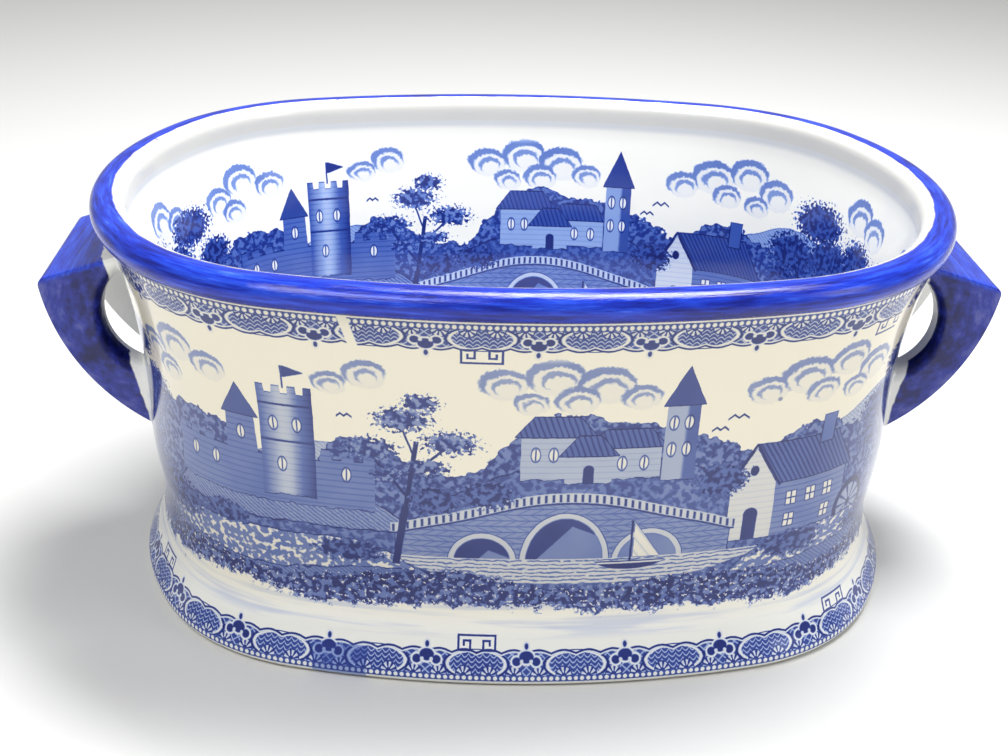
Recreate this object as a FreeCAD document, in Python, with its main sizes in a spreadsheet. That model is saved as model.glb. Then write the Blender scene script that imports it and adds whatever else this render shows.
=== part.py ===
import FreeCAD, Part
import Sketcher
import math
import os

# An oval two-handled jardiniere of glazed earthenware: a cast basin with a
# rolled rim and a flared foot, and two arched handles stuck on with clay slip.
# X runs along the length, Z is up, and the origin is under the middle of the
# basin, on the surface that it stands on. Lengths are in millimetres.

SIZES = {
    # plan of the rim: bowed ends and sides, joined by rounder corners
    "rim_half_length": 215.0,
    "rim_half_width": 170.0,
    "end_bow_share": 1.1824,
    "side_bow_share": 2.1163,
    "corner_share": 0.7029,
    # rolled rim with an upright inner lip
    "height": 204.0,
    "rim_roll_radius": 7.0,
    "rim_width": 17.0,
    "lip_radius": 7.0,
    # wall: a flared upper part, a shoulder and a waist above the foot
    "wall_inset": 21.7,
    "wall_thickness": 9.3,
    "flare_spread": 18.2,
    "flare_height_share": 0.4657,
    "shoulder_radius": 186.0,
    "waist_radius": 70.0,
    "waist_height_share": 0.2157,
    # foot ring and floor
    "foot_edge_radius": 5.0,
    "foot_ring_width": 9.0,
    "foot_ring_depth": 5.0,
    "floor_thickness": 10.0,
    "floor_curve_radius": 24.0,
    "floor_lap": 6.0,
    # arched handles: a flat bar under the rim, carried by two ear-shaped legs
    "handle_width": 94.0,
    "handle_leg_width": 15.0,
    "handle_bar_thickness": 12.0,
    "handle_reach": 22.9,
    "ridge_height_share": 0.7956,
    "ridge_radius_share": 0.0196,
    "handle_top_rise_share": 0.0824,
    "handle_back_radius": 104.0,
    "handle_foot_share": 0.4181,
    "handle_root_depth": 8.0,
    "handle_edge_share": 0.0147,
    # finger gap between handle and wall
    "finger_gap_radius_share": 0.1397,
    "finger_gap_height_share": 0.7059,
    "finger_gap_depth_share": 0.0627,
    # slip that sticks the handles to the wall
    "slip_thickness": 1.2,
    "slip_bead": 2.0,
    "slip_seat_clearance": 0.05,
    # how far a trimming shape runs past what it trims
    "overrun": 4.0,
}

# Sizes that follow from the others: bows from the rim's half width and half
# length, levels from the height, and the flare from how far it spreads
FOLLOWING = {
    "end_bow_radius": "=rim_half_width * end_bow_share",
    "side_bow_radius": "=rim_half_length * side_bow_share",
    "corner_radius": "=rim_half_width * corner_share",
    "flare_height": "=height * flare_height_share",
    "waist_height": "=height * waist_height_share",
    "ridge_height": "=height * ridge_height_share",
    "handle_foot_height": "=height * handle_foot_share",
    "finger_gap_height": "=height * finger_gap_height_share",
    "ridge_radius": "=height * ridge_radius_share",
    "handle_edge_radius": "=height * handle_edge_share",
    "handle_top_rise": "=height * handle_top_rise_share",
    "finger_gap_radius": "=height * finger_gap_radius_share",
    "finger_gap_depth": "=height * finger_gap_depth_share",
    "flare_rise": "=height - rim_roll_radius - flare_height",
    "flare_radius": "=(flare_spread ^ 2 + flare_rise ^ 2) / (2 * flare_spread)",
}

# The sketcher's codes for an edge's points and for the two axes
START, END, CENTRE = range(1, 4)
X_AXIS, Y_AXIS = -1, -2
FULL_TURN = 360.0

doc = FreeCAD.newDocument("jardiniere")
sheet = doc.addObject("Spreadsheet::Sheet", "sizes")
for row, (alias, value) in enumerate({**SIZES, **FOLLOWING}.items(), start=1):
    sheet.set(f"A{row}", alias)
    sheet.set(f"B{row}", str(value))
    sheet.setAlias(f"B{row}", alias)
doc.recompute()


def size(name):
    return float(getattr(sheet, name))


# Places that several pieces share, in the sheet's words, for bound dimensions
END_AXIS_X = "sizes.rim_half_length - sizes.end_bow_radius"
FLARE_CENTRE_X = "sizes.rim_half_length - sizes.wall_inset + sizes.flare_radius"
RIDGE_X = "sizes.rim_half_length + sizes.handle_reach"
ROOT_X = "sizes.rim_half_length - sizes.wall_inset - sizes.handle_root_depth"
GAP_CENTRE_X = "sizes.rim_half_length - sizes.wall_inset - sizes.finger_gap_depth"
SHOULDER_CENTRE_X = "sizes.rim_half_length - sizes.wall_inset - sizes.shoulder_radius"
FLOOR_TOP = "sizes.foot_ring_depth + sizes.floor_thickness"

# The same places as numbers, for the first position of each sketch
wall_x = size("rim_half_length") - size("wall_inset")
end_axis_x = size("rim_half_length") - size("end_bow_radius")
flare_centre = (wall_x + size("flare_radius"), size("flare_height"))
shoulder_centre = (wall_x - size("shoulder_radius"), size("flare_height"))
floor_top = size("foot_ring_depth") + size("floor_thickness")


def leg(long_side, other_leg):
    """The second leg of a right-angled triangle."""
    return math.sqrt(long_side ** 2 - other_leg ** 2)


def toward(centre, target, distance):
    """The point at a distance from a centre, towards a target."""
    share = distance / math.dist(centre, target)
    return (centre[0] + share * (target[0] - centre[0]), centre[1] + share * (target[1] - centre[1]))


def meeting_point(first, first_radius, second, second_radius, turn):
    """Where two circles meet, on the left of the line of centres if turn is 1, else on its right."""
    apart = math.dist(first, second)
    along = (apart ** 2 + first_radius ** 2 - second_radius ** 2) / (2 * apart)
    aside = turn * leg(first_radius, along)
    unit = ((second[0] - first[0]) / apart, (second[1] - first[1]) / apart)
    return (first[0] + along * unit[0] - aside * unit[1], first[1] + along * unit[1] + aside * unit[0])


def new_body(label):
    body = doc.addObject("PartDesign::Body", label)
    body.Label = label
    return body


def new_sketch(body, name, plane):
    sketch = body.newObject("Sketcher::SketchObject", name)
    support = next(feature for feature in body.Origin.OriginFeatures if feature.Role == plane)
    sketch.AttachmentSupport = [(support, "")]
    sketch.MapMode = "FlatFace"
    return sketch


def line(start, end):
    return Part.LineSegment(FreeCAD.Vector(*start, 0), FreeCAD.Vector(*end, 0))


def arc(centre, start, end):
    """A counter-clockwise arc round a centre, from one point to another."""
    circle = Part.Circle(FreeCAD.Vector(*centre, 0), FreeCAD.Vector(0, 0, 1), math.dist(centre, start))
    first = math.atan2(start[1] - centre[1], start[0] - centre[0])
    last = math.atan2(end[1] - centre[1], end[0] - centre[0])
    if last <= first:
        last += 2 * math.pi
    return Part.ArcOfCircle(circle, first, last)


def tie(sketch, kind, *where):
    sketch.addConstraint(Sketcher.Constraint(kind, *where))


def join(sketch, first, second, kind):
    """Joins the ends of two edges that meet: Tangent where they run on smoothly, else Coincident."""
    ends = [(a, b) for a in (START, END) for b in (START, END)]
    gaps = [sketch.getPoint(first, a).distanceToPoint(sketch.getPoint(second, b)) for a, b in ends]
    a, b = ends[gaps.index(min(gaps))]
    tie(sketch, kind, first, a, second, b)


def ring(count):
    """Each edge of a closed outline, with the edge after it."""
    edges = list(range(count))
    return zip(edges, edges[1:] + edges[:1])


def drive(sketch, kind, where, words):
    """A dimension of a sketch, bound to the sheet's sizes by an expression."""
    if kind == "Radius":
        value = sketch.Geometry[where[0]].Radius
    else:
        point = sketch.getPoint(*where)
        value = point.x if kind == "DistanceX" else point.y
    index = sketch.addConstraint(Sketcher.Constraint(kind, *where, value))
    sketch.setExpression(f"Constraints[{index}]", words)


def place_centre(sketch, edge, x_words, z_words):
    drive(sketch, "DistanceX", (edge, CENTRE), x_words)
    drive(sketch, "DistanceY", (edge, CENTRE), z_words)


def oval_sketch(body, name, inset_words, inset):
    """The rim's plan outline, drawn in by an inset, starting at the middle of the right end."""
    half_length = size("rim_half_length") - inset
    half_width = size("rim_half_width") - inset
    end_radius = size("end_bow_radius") - inset
    side_radius = size("side_bow_radius") - inset
    corner_radius = size("corner_radius") - inset
    end_centre = (half_length - end_radius, 0)
    side_centre = (0, half_width - side_radius)
    corner_centre = meeting_point(end_centre, end_radius - corner_radius,
                                  side_centre, side_radius - corner_radius, 1)
    end_touch = toward(end_centre, corner_centre, end_radius)
    side_touch = toward(side_centre, corner_centre, side_radius)

    def turned(point, x_sign, y_sign):
        return (x_sign * point[0], y_sign * point[1])

    tip = (half_length, 0)
    sketch = new_sketch(body, name, "XY_Plane")
    sketch.addGeometry([
        arc(end_centre, tip, end_touch),
        arc(corner_centre, end_touch, side_touch),
        arc(side_centre, side_touch, turned(side_touch, -1, 1)),
        arc(turned(corner_centre, -1, 1), turned(side_touch, -1, 1), turned(end_touch, -1, 1)),
        arc(turned(end_centre, -1, 1), turned(end_touch, -1, 1), turned(end_touch, -1, -1)),
        arc(turned(corner_centre, -1, -1), turned(end_touch, -1, -1), turned(side_touch, -1, -1)),
        arc(turned(side_centre, 1, -1), turned(side_touch, -1, -1), turned(side_touch, 1, -1)),
        arc(turned(corner_centre, 1, -1), turned(side_touch, 1, -1), turned(end_touch, 1, -1)),
        arc(end_centre, turned(end_touch, 1, -1), tip),
    ])
    right_end, corner, back, left_end, front, last = 0, 1, 2, 4, 6, 8
    for edge, following in ring(sketch.GeometryCount):
        join(sketch, edge, following, "Tangent")
    tie(sketch, "PointOnObject", right_end, START, X_AXIS)
    tie(sketch, "PointOnObject", right_end, CENTRE, X_AXIS)
    tie(sketch, "PointOnObject", left_end, CENTRE, X_AXIS)
    tie(sketch, "PointOnObject", back, CENTRE, Y_AXIS)
    tie(sketch, "PointOnObject", front, CENTRE, Y_AXIS)
    for first, second in ((right_end, last), (right_end, left_end), (back, front),
                          (corner, 3), (corner, 5), (corner, 7)):
        tie(sketch, "Equal", first, second)
    drive(sketch, "Radius", (right_end,), f"sizes.end_bow_radius - ({inset_words})")
    drive(sketch, "Radius", (corner,), f"sizes.corner_radius - ({inset_words})")
    drive(sketch, "Radius", (back,), f"sizes.side_bow_radius - ({inset_words})")
    drive(sketch, "DistanceX", (right_end, CENTRE), END_AXIS_X)
    drive(sketch, "DistanceX", (left_end, CENTRE), f"-({END_AXIS_X})")
    drive(sketch, "DistanceY", (back, CENTRE), "sizes.rim_half_width - sizes.side_bow_radius")
    drive(sketch, "DistanceY", (front, CENTRE), "sizes.side_bow_radius - sizes.rim_half_width")
    return sketch


def wall_section(body):
    """The section of wall, rim, foot ring and the floor's edge, at the right end of the basin."""
    rim_x = size("rim_half_length")
    roll, lip = size("rim_roll_radius"), size("lip_radius")
    foot_edge, floor_curve = size("foot_edge_radius"), size("floor_curve_radius")
    inner_flare = size("flare_radius") + size("wall_thickness")
    inner_shoulder = size("shoulder_radius") - size("wall_thickness")

    lip_x = rim_x - size("rim_width")
    roll_centre = (rim_x - roll, size("height") - roll)
    lip_centre = (lip_x + lip, size("height") - lip)
    waist_drop = size("flare_height") - size("waist_height")
    waist_reach = leg(size("shoulder_radius") + size("waist_radius"), waist_drop)
    waist_centre = (shoulder_centre[0] + waist_reach, size("waist_height"))
    foot_reach = leg(size("waist_radius") + foot_edge, size("waist_height") - foot_edge)
    foot_centre = (waist_centre[0] - foot_reach, foot_edge)
    curve_rise = size("flare_height") - floor_top - floor_curve
    curve_reach = leg(inner_shoulder - floor_curve, curve_rise)
    curve_centre = (shoulder_centre[0] + curve_reach, floor_top + floor_curve)

    floor_edge = (curve_centre[0], floor_top)
    stub_x = floor_edge[0] - size("floor_lap")
    curve_touch = toward(shoulder_centre, curve_centre, inner_shoulder)
    inner_upright = (wall_x - size("wall_thickness"), size("flare_height"))
    crease = (lip_x, size("flare_height") + leg(inner_flare, flare_centre[0] - lip_x))
    roll_root = meeting_point(roll_centre, roll, flare_centre, size("flare_radius"), -1)
    upright = (wall_x, size("flare_height"))
    shoulder_touch = toward(shoulder_centre, waist_centre, size("shoulder_radius"))
    foot_touch = toward(waist_centre, foot_centre, size("waist_radius"))
    ring_outer = (foot_centre[0], 0)
    ring_inner = (foot_centre[0] - size("foot_ring_width"), 0)
    recess = (ring_inner[0], size("foot_ring_depth"))
    crest_outer = (roll_centre[0], size("height"))
    crest_inner = (lip_centre[0], size("height"))

    sketch = new_sketch(body, "wall_section", "XZ_Plane")
    edges = {
        "floor": line((stub_x, floor_top), floor_edge),
        "floor_curve": arc(curve_centre, floor_edge, curve_touch),
        "inner_shoulder": arc(shoulder_centre, curve_touch, inner_upright),
        "inner_flare": arc(flare_centre, crease, inner_upright),
        "lip_face": line(crease, (lip_x, lip_centre[1])),
        "lip": arc(lip_centre, crest_inner, (lip_x, lip_centre[1])),
        "crest": line(crest_inner, crest_outer),
        "roll": arc(roll_centre, roll_root, crest_outer),
        "flare": arc(flare_centre, roll_root, upright),
        "shoulder": arc(shoulder_centre, shoulder_touch, upright),
        "waist": arc(waist_centre, shoulder_touch, foot_touch),
        "foot_edge": arc(foot_centre, ring_outer, foot_touch),
        "foot_ring": line(ring_outer, ring_inner),
        "recess_side": line(ring_inner, recess),
        "recess": line(recess, (stub_x, size("foot_ring_depth"))),
        "stub": line((stub_x, size("foot_ring_depth")), (stub_x, floor_top)),
    }
    sketch.addGeometry(list(edges.values()))
    edge = {name: index for index, name in enumerate(edges)}
    corners = {"inner_flare", "roll", "foot_ring", "recess_side", "recess", "stub"}
    for name, (index, following) in zip(edges, ring(len(edges))):
        join(sketch, index, following, "Coincident" if name in corners else "Tangent")
    for name in ("floor", "crest", "foot_ring", "recess"):
        tie(sketch, "Horizontal", edge[name])
    for name in ("lip_face", "recess_side", "stub"):
        tie(sketch, "Vertical", edge[name])
    tie(sketch, "PointOnObject", edge["foot_ring"], START, X_AXIS)
    tie(sketch, "Coincident", edge["inner_flare"], CENTRE, edge["flare"], CENTRE)
    tie(sketch, "Coincident", edge["inner_shoulder"], CENTRE, edge["shoulder"], CENTRE)
    tie(sketch, "Horizontal", edge["flare"], CENTRE, edge["shoulder"], CENTRE)

    place_centre(sketch, edge["flare"], FLARE_CENTRE_X, "sizes.flare_height")
    drive(sketch, "DistanceY", (edge["waist"], CENTRE), "sizes.waist_height")
    drive(sketch, "DistanceX", (edge["roll"], CENTRE), "sizes.rim_half_length - sizes.rim_roll_radius")
    drive(sketch, "DistanceY", (edge["crest"], END), "sizes.height")
    drive(sketch, "DistanceX", (edge["lip_face"], START), "sizes.rim_half_length - sizes.rim_width")
    drive(sketch, "DistanceY", (edge["floor"], START), FLOOR_TOP)
    drive(sketch, "DistanceY", (edge["recess"], START), "sizes.foot_ring_depth")
    radii = {
        "floor_curve": "sizes.floor_curve_radius",
        "inner_flare": "sizes.flare_radius + sizes.wall_thickness",
        "lip": "sizes.lip_radius",
        "roll": "sizes.rim_roll_radius",
        "flare": "sizes.flare_radius",
        "shoulder": "sizes.shoulder_radius",
        "waist": "sizes.waist_radius",
        "foot_edge": "sizes.foot_edge_radius",
    }
    for name, words in radii.items():
        drive(sketch, "Radius", (edge[name],), words)
    for name, words in (("foot_ring", "sizes.foot_ring_width"), ("floor", "sizes.floor_lap")):
        length = sketch.Geometry[edge[name]].length()
        index = sketch.addConstraint(Sketcher.Constraint("Distance", edge[name], length))
        sketch.setExpression(f"Constraints[{index}]", words)
    index = sketch.addConstraint(Sketcher.Constraint("DistanceX", edge["floor"], END, floor_edge[0]))
    sketch.setDriving(index, False)
    sketch.renameConstraint(index, "floor_edge_x")
    return sketch


def make_vessel():
    """The cast basin: its wall section run round the rim's outline, and a flat floor."""
    body = new_body("vessel_body")
    rim_line = oval_sketch(body, "rim_line", "0", 0)
    section = wall_section(body)
    wall = body.newObject("PartDesign::AdditivePipe", "wall")
    wall.Profile = section
    wall.Spine = (rim_line, [])
    doc.recompute()
    floor_line = oval_sketch(body, "floor_line",
                             "sizes.rim_half_length - wall_section.Constraints.floor_edge_x / 1mm",
                             size("rim_half_length") - section.getDatum("floor_edge_x").Value)
    floor_line.setExpression("AttachmentOffset.Base.z", "sizes.foot_ring_depth")
    floor = body.newObject("PartDesign::Pad", "floor")
    floor.Profile = floor_line
    floor.setExpression("Length", "sizes.floor_thickness")
    return body


def ear_sketch(body, name, grow_words, grow):
    """A handle's side view at the right end, from its root inside the wall, swollen all round by grow."""
    root_x = wall_x - size("handle_root_depth")
    ridge = (size("rim_half_length") + size("handle_reach"), size("ridge_height") + grow)
    top_root = (root_x, ridge[1] + size("handle_top_rise"))
    foot_root = (root_x, size("handle_foot_height") - grow)
    back_radius = size("handle_back_radius")
    back_centre = meeting_point(foot_root, back_radius, ridge, back_radius, 1)
    gap_radius = size("finger_gap_radius") - grow
    gap_centre = (wall_x - size("finger_gap_depth"), size("finger_gap_height"))
    gap_half = leg(gap_radius, root_x - gap_centre[0])
    gap_top = (root_x, gap_centre[1] + gap_half)
    gap_foot = (root_x, gap_centre[1] - gap_half)

    sketch = new_sketch(body, name, "XZ_Plane")
    sketch.addGeometry([
        line(top_root, ridge),
        arc(back_centre, foot_root, ridge),
        line(foot_root, gap_foot),
        arc(gap_centre, gap_foot, gap_top),
        line(gap_top, top_root),
    ])
    top, back, lower_root, gap, upper_root = range(5)
    for edge, following in ring(sketch.GeometryCount):
        join(sketch, edge, following, "Coincident")
    for root in (lower_root, upper_root):
        tie(sketch, "Vertical", root)
        drive(sketch, "DistanceX", (root, START), ROOT_X)
    drive(sketch, "DistanceX", (top, END), RIDGE_X)
    drive(sketch, "DistanceY", (top, END), f"sizes.ridge_height + {grow_words}")
    drive(sketch, "DistanceY", (top, START), f"sizes.ridge_height + {grow_words} + sizes.handle_top_rise")
    drive(sketch, "DistanceY", (lower_root, START), f"sizes.handle_foot_height - {grow_words}")
    drive(sketch, "Radius", (back,), "sizes.handle_back_radius")
    drive(sketch, "Radius", (gap,), f"sizes.finger_gap_radius - {grow_words}")
    place_centre(sketch, gap, GAP_CENTRE_X, "sizes.finger_gap_height")
    return sketch


def under_bar_sketch(body, name, drop_words, drop):
    """The side view of the room between a handle's legs, lowered from the bar's underside by drop."""
    root_x = wall_x - size("handle_root_depth")
    ridge_x = size("rim_half_length") + size("handle_reach")
    bar_low = size("ridge_height") - size("handle_bar_thickness") - drop
    bar_high = bar_low + size("handle_top_rise")
    floor_z = size("handle_foot_height") - size("overrun")
    corners = [(root_x, bar_high), (root_x, floor_z), (ridge_x, floor_z), (ridge_x, bar_low)]
    sketch = new_sketch(body, name, "XZ_Plane")
    sketch.addGeometry([line(corners[first], corners[second]) for first, second in ring(len(corners))])
    inner, foot, outer, underside = range(sketch.GeometryCount)
    for edge, following in ring(sketch.GeometryCount):
        join(sketch, edge, following, "Coincident")
    tie(sketch, "Vertical", inner)
    tie(sketch, "Horizontal", foot)
    tie(sketch, "Vertical", outer)
    low_words = f"sizes.ridge_height - sizes.handle_bar_thickness - {drop_words}"
    drive(sketch, "DistanceX", (inner, START), ROOT_X)
    drive(sketch, "DistanceX", (outer, START), RIDGE_X)
    drive(sketch, "DistanceY", (foot, START), "sizes.handle_foot_height - sizes.overrun")
    drive(sketch, "DistanceY", (underside, START), low_words)
    drive(sketch, "DistanceY", (underside, END), f"{low_words} + sizes.handle_top_rise")
    return sketch


def clear_between_legs(body, name, sketch, width_words):
    """Cuts the room between a handle's legs, half to each side of the middle plane."""
    pocket = body.newObject("PartDesign::Pocket", name)
    pocket.Profile = sketch
    pocket.Midplane = True
    pocket.setExpression("Length", width_words)
    doc.recompute()
    return pocket


def pad_across(body, name, sketch, width_words):
    """A side view given its width, half to each side of the middle plane."""
    pad = body.newObject("PartDesign::Pad", name)
    pad.Profile = sketch
    pad.Midplane = True
    pad.setExpression("Length", width_words)
    return pad


def band_sketch(body, name, inner, outer, low, high):
    """A band along the outside of the wall at the right end, between two distances from its face.

    Each limit is a pair: the expression that drives it, and its number for the first position.
    """
    flare_height = size("flare_height")

    def on_wall(off, z):
        if z >= flare_height:
            return (flare_centre[0] - leg(size("flare_radius") - off, z - flare_height), z)
        return (shoulder_centre[0] + leg(size("shoulder_radius") + off, flare_height - z), z)

    crosses = low[1] < flare_height
    sides = []
    for words, off in (inner, outer):
        flare_foot = on_wall(off, max(low[1], flare_height))
        sides.append([arc(flare_centre, on_wall(off, high[1]), flare_foot)])
        if crosses:
            sides[-1].append(arc(shoulder_centre, on_wall(off, low[1]), flare_foot))
    top = line(on_wall(inner[1], high[1]), on_wall(outer[1], high[1]))
    foot = line(on_wall(outer[1], low[1]), on_wall(inner[1], low[1]))
    edges = [top, *sides[1], foot, *reversed(sides[0])]
    count = len(edges)
    outer_flare, inner_flare = 1, count - 1
    outer_shoulder, inner_shoulder = 2, count - 2
    foot_index = len(sides[1]) + 1

    sketch = new_sketch(body, name, "XZ_Plane")
    sketch.addGeometry(edges)
    for edge, following in ring(count):
        smooth = crosses and edge in (outer_flare, inner_shoulder)
        join(sketch, edge, following, "Tangent" if smooth else "Coincident")
    tie(sketch, "Horizontal", 0)
    tie(sketch, "Horizontal", foot_index)
    drive(sketch, "DistanceY", (0, START), high[0])
    drive(sketch, "DistanceY", (foot_index, START), low[0])
    for edge, words in ((outer_flare, outer[0]), (inner_flare, inner[0])):
        drive(sketch, "Radius", (edge,), f"sizes.flare_radius - ({words})")
        place_centre(sketch, edge, FLARE_CENTRE_X, "sizes.flare_height")
    if crosses:
        for edge in (outer_shoulder, inner_shoulder):
            place_centre(sketch, edge, SHOULDER_CENTRE_X, "sizes.flare_height")
    axis = sketch.addGeometry(line((end_axis_x, 0), (end_axis_x, size("height"))), True)
    tie(sketch, "Vertical", axis)
    tie(sketch, "PointOnObject", axis, START, X_AXIS)
    drive(sketch, "DistanceX", (axis, START), END_AXIS_X)
    drive(sketch, "DistanceY", (axis, END), "sizes.height")
    return sketch


def turn_round_end(body, kind, name, sketch):
    """Turns a band round the upright axis that the basin's right end is bowed about."""
    turned = body.newObject(kind, name)
    turned.Profile = sketch
    turned.ReferenceAxis = (sketch, ["Axis0"])
    turned.Angle = FULL_TURN
    return turned


def side_edges(shape):
    """The names of the edges round a handle's two side faces, but for those inside the wall."""
    near = size("slip_seat_clearance")
    root_x = wall_x - size("handle_root_depth")
    side_y = size("handle_width") / 2
    names = []
    for index, edge in enumerate(shape.Edges, start=1):
        box = edge.BoundBox
        on_side = box.YLength < near and abs(abs(box.Center.y) - side_y) < near
        if on_side and box.XMax > root_x + near:
            names.append(f"Edge{index}")
    return names


def ridge_edge(shape):
    """The name of the edge where a handle's top meets its back."""
    near = size("slip_seat_clearance")
    ridge_x = size("rim_half_length") + size("handle_reach")
    return next(f"Edge{index}" for index, edge in enumerate(shape.Edges, start=1)
                if edge.BoundBox.XMin > ridge_x - near)


def round_edges(body, name, base, edges, radius_words):
    fillet = body.newObject("PartDesign::Fillet", name)
    fillet.Base = (base, edges)
    fillet.setExpression("Radius", radius_words)
    doc.recompute()
    return fillet


def make_handle(label):
    """The right handle: an ear with rounded edges, cleared to an arch and hollowed to the wall's curve."""
    body = new_body(label)
    ear = pad_across(body, "ear", ear_sketch(body, "ear_outline", "0", 0), "sizes.handle_width")
    doc.recompute()
    ridge = round_edges(body, "ridge", ear, [ridge_edge(ear.Shape)], "sizes.ridge_radius")
    rounded = round_edges(body, "rounding", ridge, side_edges(ridge.Shape), "sizes.handle_edge_radius")
    arch = clear_between_legs(body, "arch", under_bar_sketch(body, "arch_outline", "0", 0),
                              "sizes.handle_width - 2 * sizes.handle_leg_width")
    if not 0 < arch.Shape.Volume < rounded.Shape.Volume:
        raise RuntimeError("the room between the handle's legs was not cut")
    seat = band_sketch(
        body, "seat_section",
        inner=("-(sizes.wall_inset + sizes.overrun)", -(size("wall_inset") + size("overrun"))),
        outer=("sizes.slip_thickness + sizes.slip_seat_clearance",
               size("slip_thickness") + size("slip_seat_clearance")),
        low=("sizes.handle_foot_height - sizes.overrun", size("handle_foot_height") - size("overrun")),
        high=("sizes.height", size("height")))
    hollow = turn_round_end(body, "PartDesign::Groove", "hollow", seat)
    doc.recompute()
    if not 0 < hollow.Shape.Volume < arch.Shape.Volume:
        raise RuntimeError("the handle's seat was not cut")
    return body


def make_slip(label, low, high):
    """A thin bed of slip between the wall and the right handle's bar or feet, with a bead round it."""
    bed = new_body(f"{label}_bed")
    section = band_sketch(
        bed, f"{label}_section",
        inner=("sizes.slip_seat_clearance", size("slip_seat_clearance")),
        outer=("sizes.slip_thickness", size("slip_thickness")),
        low=low, high=high)
    turn_round_end(bed, "PartDesign::Revolution", f"{label}_layer", section)
    footprint = new_body(f"{label}_footprint")
    outline = ear_sketch(footprint, f"{label}_outline", "sizes.slip_bead", size("slip_bead"))
    pad_across(footprint, f"{label}_spread", outline, "sizes.handle_width + 2 * sizes.slip_bead")
    doc.recompute()
    clear_between_legs(footprint, f"{label}_arch",
                       under_bar_sketch(footprint, f"{label}_arch_outline", "sizes.slip_bead", size("slip_bead")),
                       "sizes.handle_width - 2 * (sizes.handle_leg_width + sizes.slip_bead)")
    slip = doc.addObject("Part::MultiCommon", label)
    slip.Label = label
    slip.Shapes = [bed, footprint]
    return slip


def mirrored(source, label):
    """The left piece, made from the right one's mould."""
    piece = doc.addObject("Part::Mirroring", label)
    piece.Label = label
    piece.Source = source
    piece.Normal = FreeCAD.Vector(1, 0, 0)
    return piece


def make_pieces():
    gap_height = ("sizes.finger_gap_height", size("finger_gap_height"))
    under_rim = ("sizes.height - 2 * sizes.rim_roll_radius", size("height") - 2 * size("rim_roll_radius"))
    under_foot = ("sizes.handle_foot_height - sizes.overrun", size("handle_foot_height") - size("overrun"))
    right = [
        make_handle("right_handle"),
        make_slip("right_upper_slip_joint", gap_height, under_rim),
        make_slip("right_lower_slip_joint", under_foot, gap_height),
    ]
    left = [mirrored(piece, piece.Label.replace("right", "left")) for piece in right]
    return [make_vessel(), *right, *left]


def write_pieces(pieces):
    """Writes each piece to its own file, once every feature and solid is sound."""
    doc.recompute()
    for item in doc.Objects:
        if {"Invalid", "Error"} & set(item.State):
            raise RuntimeError(f"{item.Label} failed: {item.State}")
    for piece in pieces:
        if piece.Shape.isNull() or not piece.Shape.isValid() or not piece.Shape.Solids:
            raise RuntimeError(f"{piece.Label} is not sound")
    os.makedirs("parts", exist_ok=True)
    for piece in pieces:
        piece.Shape.exportStep(f"parts/{piece.Label}.step")
        box = piece.Shape.optimalBoundingBox(False)
        print(f"{piece.Label}: {len(piece.Shape.Solids)} solid, {piece.Shape.Volume / 1000:.2f} cm3, "
              f"x {box.XMin:.1f} to {box.XMax:.1f}, "
              f"y {box.YMin:.1f} to {box.YMax:.1f}, z {box.ZMin:.1f} to {box.ZMax:.1f}")


write_pieces(make_pieces())
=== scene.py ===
import math

import bmesh
import bpy
from mathutils import Matrix, Vector


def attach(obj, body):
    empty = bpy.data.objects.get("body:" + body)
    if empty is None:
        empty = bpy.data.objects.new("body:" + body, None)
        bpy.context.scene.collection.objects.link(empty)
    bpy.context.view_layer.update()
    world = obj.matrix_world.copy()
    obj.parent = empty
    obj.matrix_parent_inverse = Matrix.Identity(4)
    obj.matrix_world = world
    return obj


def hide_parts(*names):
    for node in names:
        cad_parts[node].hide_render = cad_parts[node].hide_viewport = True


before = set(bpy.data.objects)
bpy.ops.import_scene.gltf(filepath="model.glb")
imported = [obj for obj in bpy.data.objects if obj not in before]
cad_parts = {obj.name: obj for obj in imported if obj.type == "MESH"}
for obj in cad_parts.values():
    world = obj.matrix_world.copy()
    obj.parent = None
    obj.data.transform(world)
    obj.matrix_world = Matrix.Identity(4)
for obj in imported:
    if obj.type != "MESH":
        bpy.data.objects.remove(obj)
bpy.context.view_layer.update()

# Lengths are in millimetres until they are placed in a mesh.
MM = 0.001

# plan of the rim: bowed ends and sides, joined by rounder corners
HALF_LENGTH, HALF_WIDTH = 215.0, 170.0
END_RADIUS, SIDE_RADIUS, CORNER_RADIUS = 201.0, 455.0, 119.5
# section of the wall at the right end
HEIGHT = 204.0
ROLL_RADIUS, RIM_WIDTH, LIP_RADIUS = 7.0, 17.0, 7.0
WALL_X, WALL = 193.3, 9.3
FLARE_HEIGHT, FLARE_RADIUS = 95.0, 294.9
SHOULDER_RADIUS, WAIST_RADIUS, WAIST_HEIGHT = 186.0, 70.0, 44.0
FOOT_EDGE, FOOT_RING, FOOT_DEPTH = 5.0, 9.0, 5.0
FLOOR_TOP, FLOOR_CURVE = 15.0, 24.0
RING_EDGE = 1.2
# arched handles: a flat bar under the rim, carried by two ear-shaped legs
HANDLE_HALF, LEG_WIDTH, BAR = 47.0, 15.0, 12.0
RIDGE = (237.9, 162.3)
RIDGE_RADIUS, BACK_RADIUS = 4.0, 104.0
HANDLE_TOP, HANDLE_FOOT, ROOT_X = 179.1, 85.3, 185.3
GAP_CENTRE, GAP_RADIUS = (180.5, 144.0), 28.5
EDGE_ROUND, GAP_ROUND = 3.0, 6.0
SINK = 7.6
# slip fillets where the handles meet the wall: how far out from the handle's edge, and how far off the wall
SLIP_PROFILE = ((2.8, 0.02), (1.3, 0.35), (0.2, 1.1), (-0.8, 2.2), (-2.2, 3.0), (-2.4, -1.0), (2.0, -0.8))
SLIP_CORNER = 3.0
# where the flat floor and underside lie in the vessel's UV map, beyond the wall's profile
FLAT_PROFILE = 420.0


def leg(long_side, other):
    return math.sqrt(long_side ** 2 - other ** 2)


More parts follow.
